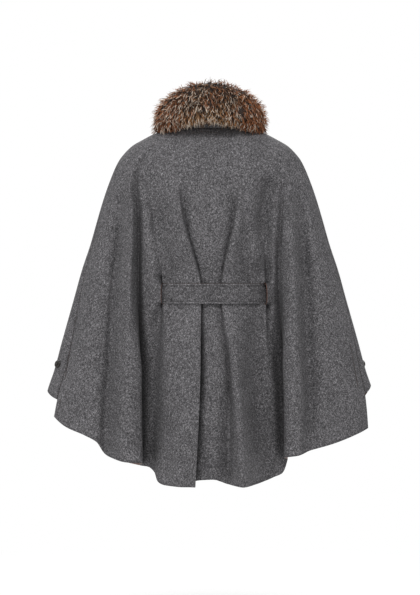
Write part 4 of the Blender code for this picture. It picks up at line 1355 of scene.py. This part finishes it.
@finish_once
def fur_hair(name):
    """Fur hair: dark roots, rust and brown middles, and cream tips by place."""
    coat = bpy.context.scene.coat_fur
    finish = Finish(name, Roughness=0.55, Sheen_Weight=0.1, Specular_IOR_Level=0.35)
    tip, tone, cell = (finish.attribute(key) for key in ("tip", "tone", "cell"))
    parts = new_node(finish.tree, "ShaderNodeSeparateXYZ", {0: finish.place}).outputs
    across = finish.math("ABSOLUTE", parts["X"])
    cloud = finish.noise(26.0, roughness=0.55)
    side = finish.ranged(finish.weighted((across, 1.0), (cloud, 0.05)), 0.070, 0.115)
    height = finish.weighted((parts["Z"], 1.0), (cloud, 0.03))
    low, high = finish.ranged(height, 0.062, 0.030), finish.ranged(height, 0.095, 0.120)
    brown, rust, cream, root = (tuple(colour) for colour in (coat.brown, coat.rust, coat.cream, coat.root))
    low = finish.math("MULTIPLY", low, finish.math("SUBTRACT", 1.0, side))
    warm = finish.mixed(finish.ranged(cloud, 0.42, 0.62), brown, rust)
    warm = finish.mixed(finish.math("MULTIPLY", low, 0.8), warm, FUR_GOLD)
    body = finish.mixed(side, warm, rust)
    body = finish.mixed(finish.ranged(tone, 0.45, 0.05, 0.0, 0.8), body, scaled(root, 2.0))
    pale = finish.weighted((cell, 0.45), (tone, 0.55), (low, 0.03), (high, -0.40), (side, -0.08))
    tips = finish.mixed(finish.ranged(pale, 0.50, 0.57), body, cream)
    hair = finish.mixed(finish.ranged(tip, 0.05, 0.45), root, body)
    hair = finish.mixed(finish.ranged(tip, 0.35, 0.70), hair, tips)
    finish.colour(hair)
    return finish.material


@finish_once
def studio_floor(name):
    """An even pale floor, which glows a little so that it meets the white of the room."""
    return Finish(name, Base_Color=(0.90, 0.90, 0.90, 1.0), Roughness=0.8, Specular_IOR_Level=0.0,
                  Emission_Color=(1.0, 1.0, 1.0, 1.0), Emission_Strength=FLOOR_GLOW).material


def length_setting(name, description, default, low, high):
    return FloatProperty(name=name, description=description, default=default, min=low, max=high,
                         unit="LENGTH")


def colour_setting(name, description, default):
    return FloatVectorProperty(name=name, description=description, default=default, min=0.0, max=1.0, size=3,
                               subtype="COLOR")


def power_setting(name, description, default):
    return FloatProperty(name=name, description=description, default=default, min=0.0, max=2000.0,
                         unit="POWER")


class CoatClothSettings(bpy.types.PropertyGroup):
    wall: length_setting("Wall", "Thickness of the wool with its lining", WOOL_WALL, 0.001, 0.006)
    colour: colour_setting("Wool", "Colour of the wool's ground", (0.128, 0.124, 0.130))
    lining_colour: colour_setting("Lining", "Colour of the lining", (0.115, 0.040, 0.020))
    fleck_scale: FloatProperty(name="Fleck", description="Flecks of the wool in each metre", default=430.0,
                               min=50.0, max=1500.0)


class CoatBeltSettings(bpy.types.PropertyGroup):
    wall: length_setting("Wall", "Thickness of the doubled belt", BELT_WALL, 0.001, 0.008)
    stitch_pitch: length_setting("Stitch pitch", "From one belt stitch to the next", 0.0042, 0.002, 0.02)


class CoatFurSettings(bpy.types.PropertyGroup):
    spacing: length_setting("Spacing", "Least distance between two locks", 0.0024, 0.001, 0.01)
    tuft_width: length_setting("Tuft", "Width of a tuft of locks", 0.0042, 0.002, 0.03)
    root: colour_setting("Root", "Colour of the hair at its root", (0.012, 0.007, 0.004))
    brown: colour_setting("Brown", "Colour of the middle fur", (0.270, 0.130, 0.055))
    rust: colour_setting("Rust", "Colour of the fur at the sides", (0.420, 0.155, 0.055))
    cream: colour_setting("Cream", "Colour of the pale tips", (0.960, 0.830, 0.690))


class CoatButtonSettings(bpy.types.PropertyGroup):
    diameter: length_setting("Front button", "Width of a front button", BUTTON_DIAMETER, 0.01, 0.05)
    vent_diameter: length_setting("Vent button", "Width of a button at the side vents", VENT_BUTTON_DIAMETER,
                                  0.008, 0.04)
    colour: colour_setting("Horn", "Colour of the horn", (0.022, 0.017, 0.014))


class CoatStageSettings(bpy.types.PropertyGroup):
    key: power_setting("Key", "Power of each overhead light", 108.0)
    side: power_setting("Side", "Power of the side light", 24.0)
    ambient: FloatProperty(name="Ambient", description="Strength of the white room's light", default=0.39,
                           min=0.0, max=3.0)


class COAT_OT_back(bpy.types.Operator):
    """Cut and hang the back with its two wings and its open pleat"""
    bl_idname = "coat.back"
    bl_label = "Back"

    def execute(self, context):
        cloth_panel("back_panel", BACK)
        return {"FINISHED"}


class COAT_OT_fronts(bpy.types.Operator):
    """Cut and hang the two fronts with their wings"""
    bl_idname = "coat.fronts"
    bl_label = "Fronts"

    def execute(self, context):
        cloth_panel("front_left", FRONT_LEFT)
        cloth_panel("front_right", FRONT_RIGHT)
        return {"FINISHED"}


class COAT_OT_stand(bpy.types.Operator):
    """Set the collar stand into the neck"""
    bl_idname = "coat.stand"
    bl_label = "Collar Stand"

    def execute(self, context):
        collar_stand()
        return {"FINISHED"}


class COAT_OT_belt(bpy.types.Operator):
    """Thread the belt through its slits, with its topstitching, the slits' edges and the seam lines"""
    bl_idname = "coat.belt"
    bl_label = "Belt"

    def execute(self, context):
        belt()
        belt_stitches()
        slit_beads()
        seam_lines()
        return {"FINISHED"}


class COAT_OT_fur(bpy.types.Operator):
    """Grow and comb the fur collar"""
    bl_idname = "coat.fur"
    bl_label = "Fur Collar"

    def execute(self, context):
        fur_skin()
        shapes = bpy.data.collections.new("lock_shapes")
        for index in range(LOCK_SHAPES):
            shapes.objects.link(lock_shape(index, 0.18 + 0.09 * (index % 4), 0.05 - 0.02 * (index % 3)))
        tree = comb_nodes(shapes)
        for index in range(FUR_SECTORS):
            fur_sector(index, tree)
        for shape in list(shapes.objects):
            bpy.data.objects.remove(shape, do_unlink=True)
        bpy.data.collections.remove(shapes)
        bpy.data.node_groups.remove(tree)
        return {"FINISHED"}


class COAT_OT_buttons(bpy.types.Operator):
    """Turn the horn buttons and sew them on"""
    bl_idname = "coat.buttons"
    bl_label = "Buttons"

    def execute(self, context):
        sizes = context.scene.coat_buttons
        middle = len(FRONT_RIGHT.lines) - 2
        for number, z in enumerate(FRONT_BUTTON_Z, 1):
            sewn_button(sizes.diameter, FRONT_RIGHT, middle, z, f"front_{number}")
        place = belt_point(math.pi, BELT_WALL * 1.5 + SEAM_GAP * 2)
        place.z = BELT_Z
        horn_button(sizes.diameter / 2, place, Vector((0, -1, 0)), "button_belt")
        sewn_button(sizes.vent_diameter, FRONT_LEFT, LEFT_VENT_STATION, VENT_BUTTON_Z, "vent_left")
        sewn_button(sizes.vent_diameter, FRONT_RIGHT, RIGHT_VENT_STATION, VENT_BUTTON_Z, "vent_right")
        return {"FINISHED"}


def area_light(name, place, aim, size, power):
    light = bpy.data.lights.new(name, "AREA")
    light.shape = "DISK"
    light.size = size
    light.energy = power
    lamp = linked_object(name, light)
    lamp.location = place
    lamp.rotation_euler = (aim - place).to_track_quat("-Z", "Y").to_euler()


def white_room(ambient):
    """A white world that the camera sees at full strength and the coat is lit by more softly."""
    world = bpy.data.worlds.new("room")
    world.use_nodes = True
    tree = world.node_tree
    background = tree.nodes["Background"]
    background.inputs["Color"].default_value = (1.0, 1.0, 1.0, 1.0)
    seen = new_node(tree, "ShaderNodeLightPath").outputs["Is Camera Ray"]
    values = {"Value": seen, "To Min": ambient, "To Max": 1.0}
    strength = new_node(tree, "ShaderNodeMapRange", values).outputs[0]
    tree.links.new(strength, background.inputs["Strength"])
    bpy.context.scene.world = world


class COAT_OT_stage(bpy.types.Operator):
    """Set out the pale floor, the soft lights and the camera"""
    bl_idname = "coat.stage"
    bl_label = "Stage"

    def execute(self, context):
        scene = context.scene
        maker = bmesh.new()
        bmesh.ops.create_circle(maker, cap_ends=True, segments=96, radius=FLOOR_RADIUS,
                                matrix=Matrix.Translation((0, 0, FLOOR_Z)))
        floor = linked_object("floor", mesh_of("floor", maker))
        floor.data.materials.append(studio_floor())
        white_room(scene.coat_stage.ambient)
        aim = Vector((0, 0, CAMERA_Z))
        area_light("key", Vector(KEY_PLACE), aim, KEY_WIDTH, scene.coat_stage.key)
        area_light("front_key", Vector(FRONT_KEY_PLACE), aim, KEY_WIDTH, scene.coat_stage.key)
        area_light("side", Vector(SIDE_PLACE), aim, SIDE_WIDTH, scene.coat_stage.side)
        lens = bpy.data.cameras.new("camera")
        lens.lens = CAMERA_LENS
        lens.sensor_width = CAMERA_SENSOR
        scene.camera = linked_object("camera", lens)
        scene.camera.location = (0, CAMERA_DISTANCE, CAMERA_Z)
        scene.camera.rotation_euler = (math.pi / 2, 0, math.pi)
        scene.view_settings.view_transform = "Standard"
        return {"FINISHED"}


class COAT_PT_sidebar(bpy.types.Panel):
    bl_label = "Wool Cape Coat"
    bl_idname = "COAT_PT_sidebar"
    bl_space_type = "VIEW_3D"
    bl_region_type = "UI"
    bl_category = "Cape Coat"

    def draw(self, context):
        for label, settings, operators in SECTIONS:
            box = self.layout.box()
            box.label(text=label)
            group = getattr(context.scene, settings)
            for name in group.__annotations__:
                box.prop(group, name)
            for operator in operators:
                box.operator(operator.bl_idname)


SETTINGS = {
    "coat_cloth": CoatClothSettings,
    "coat_belt": CoatBeltSettings,
    "coat_fur": CoatFurSettings,
    "coat_buttons": CoatButtonSettings,
    "coat_stage": CoatStageSettings,
}
SECTIONS = (
    ("Cloth", "coat_cloth", (COAT_OT_back, COAT_OT_fronts, COAT_OT_stand)),
    ("Belt", "coat_belt", (COAT_OT_belt,)),
    ("Fur", "coat_fur", (COAT_OT_fur,)),
    ("Buttons", "coat_buttons", (COAT_OT_buttons,)),
    ("Stage", "coat_stage", (COAT_OT_stage,)),
)
OPERATORS = [operator for _, _, operators in SECTIONS for operator in operators]


def register():
    for name, settings in SETTINGS.items():
        bpy.utils.register_class(settings)
        setattr(bpy.types.Scene, name, PointerProperty(type=settings))
    for operator in OPERATORS:
        bpy.utils.register_class(operator)
    bpy.utils.register_class(COAT_PT_sidebar)


def unregister():
    bpy.utils.unregister_class(COAT_PT_sidebar)
    for operator in reversed(OPERATORS):
        bpy.utils.unregister_class(operator)
    for name, settings in SETTINGS.items():
        delattr(bpy.types.Scene, name)
        bpy.utils.unregister_class(settings)


def main():
    register()
    for operator in OPERATORS:
        group, name = operator.bl_idname.split(".")
        getattr(getattr(bpy.ops, group), name)()


if __name__ == "__main__":
    main()
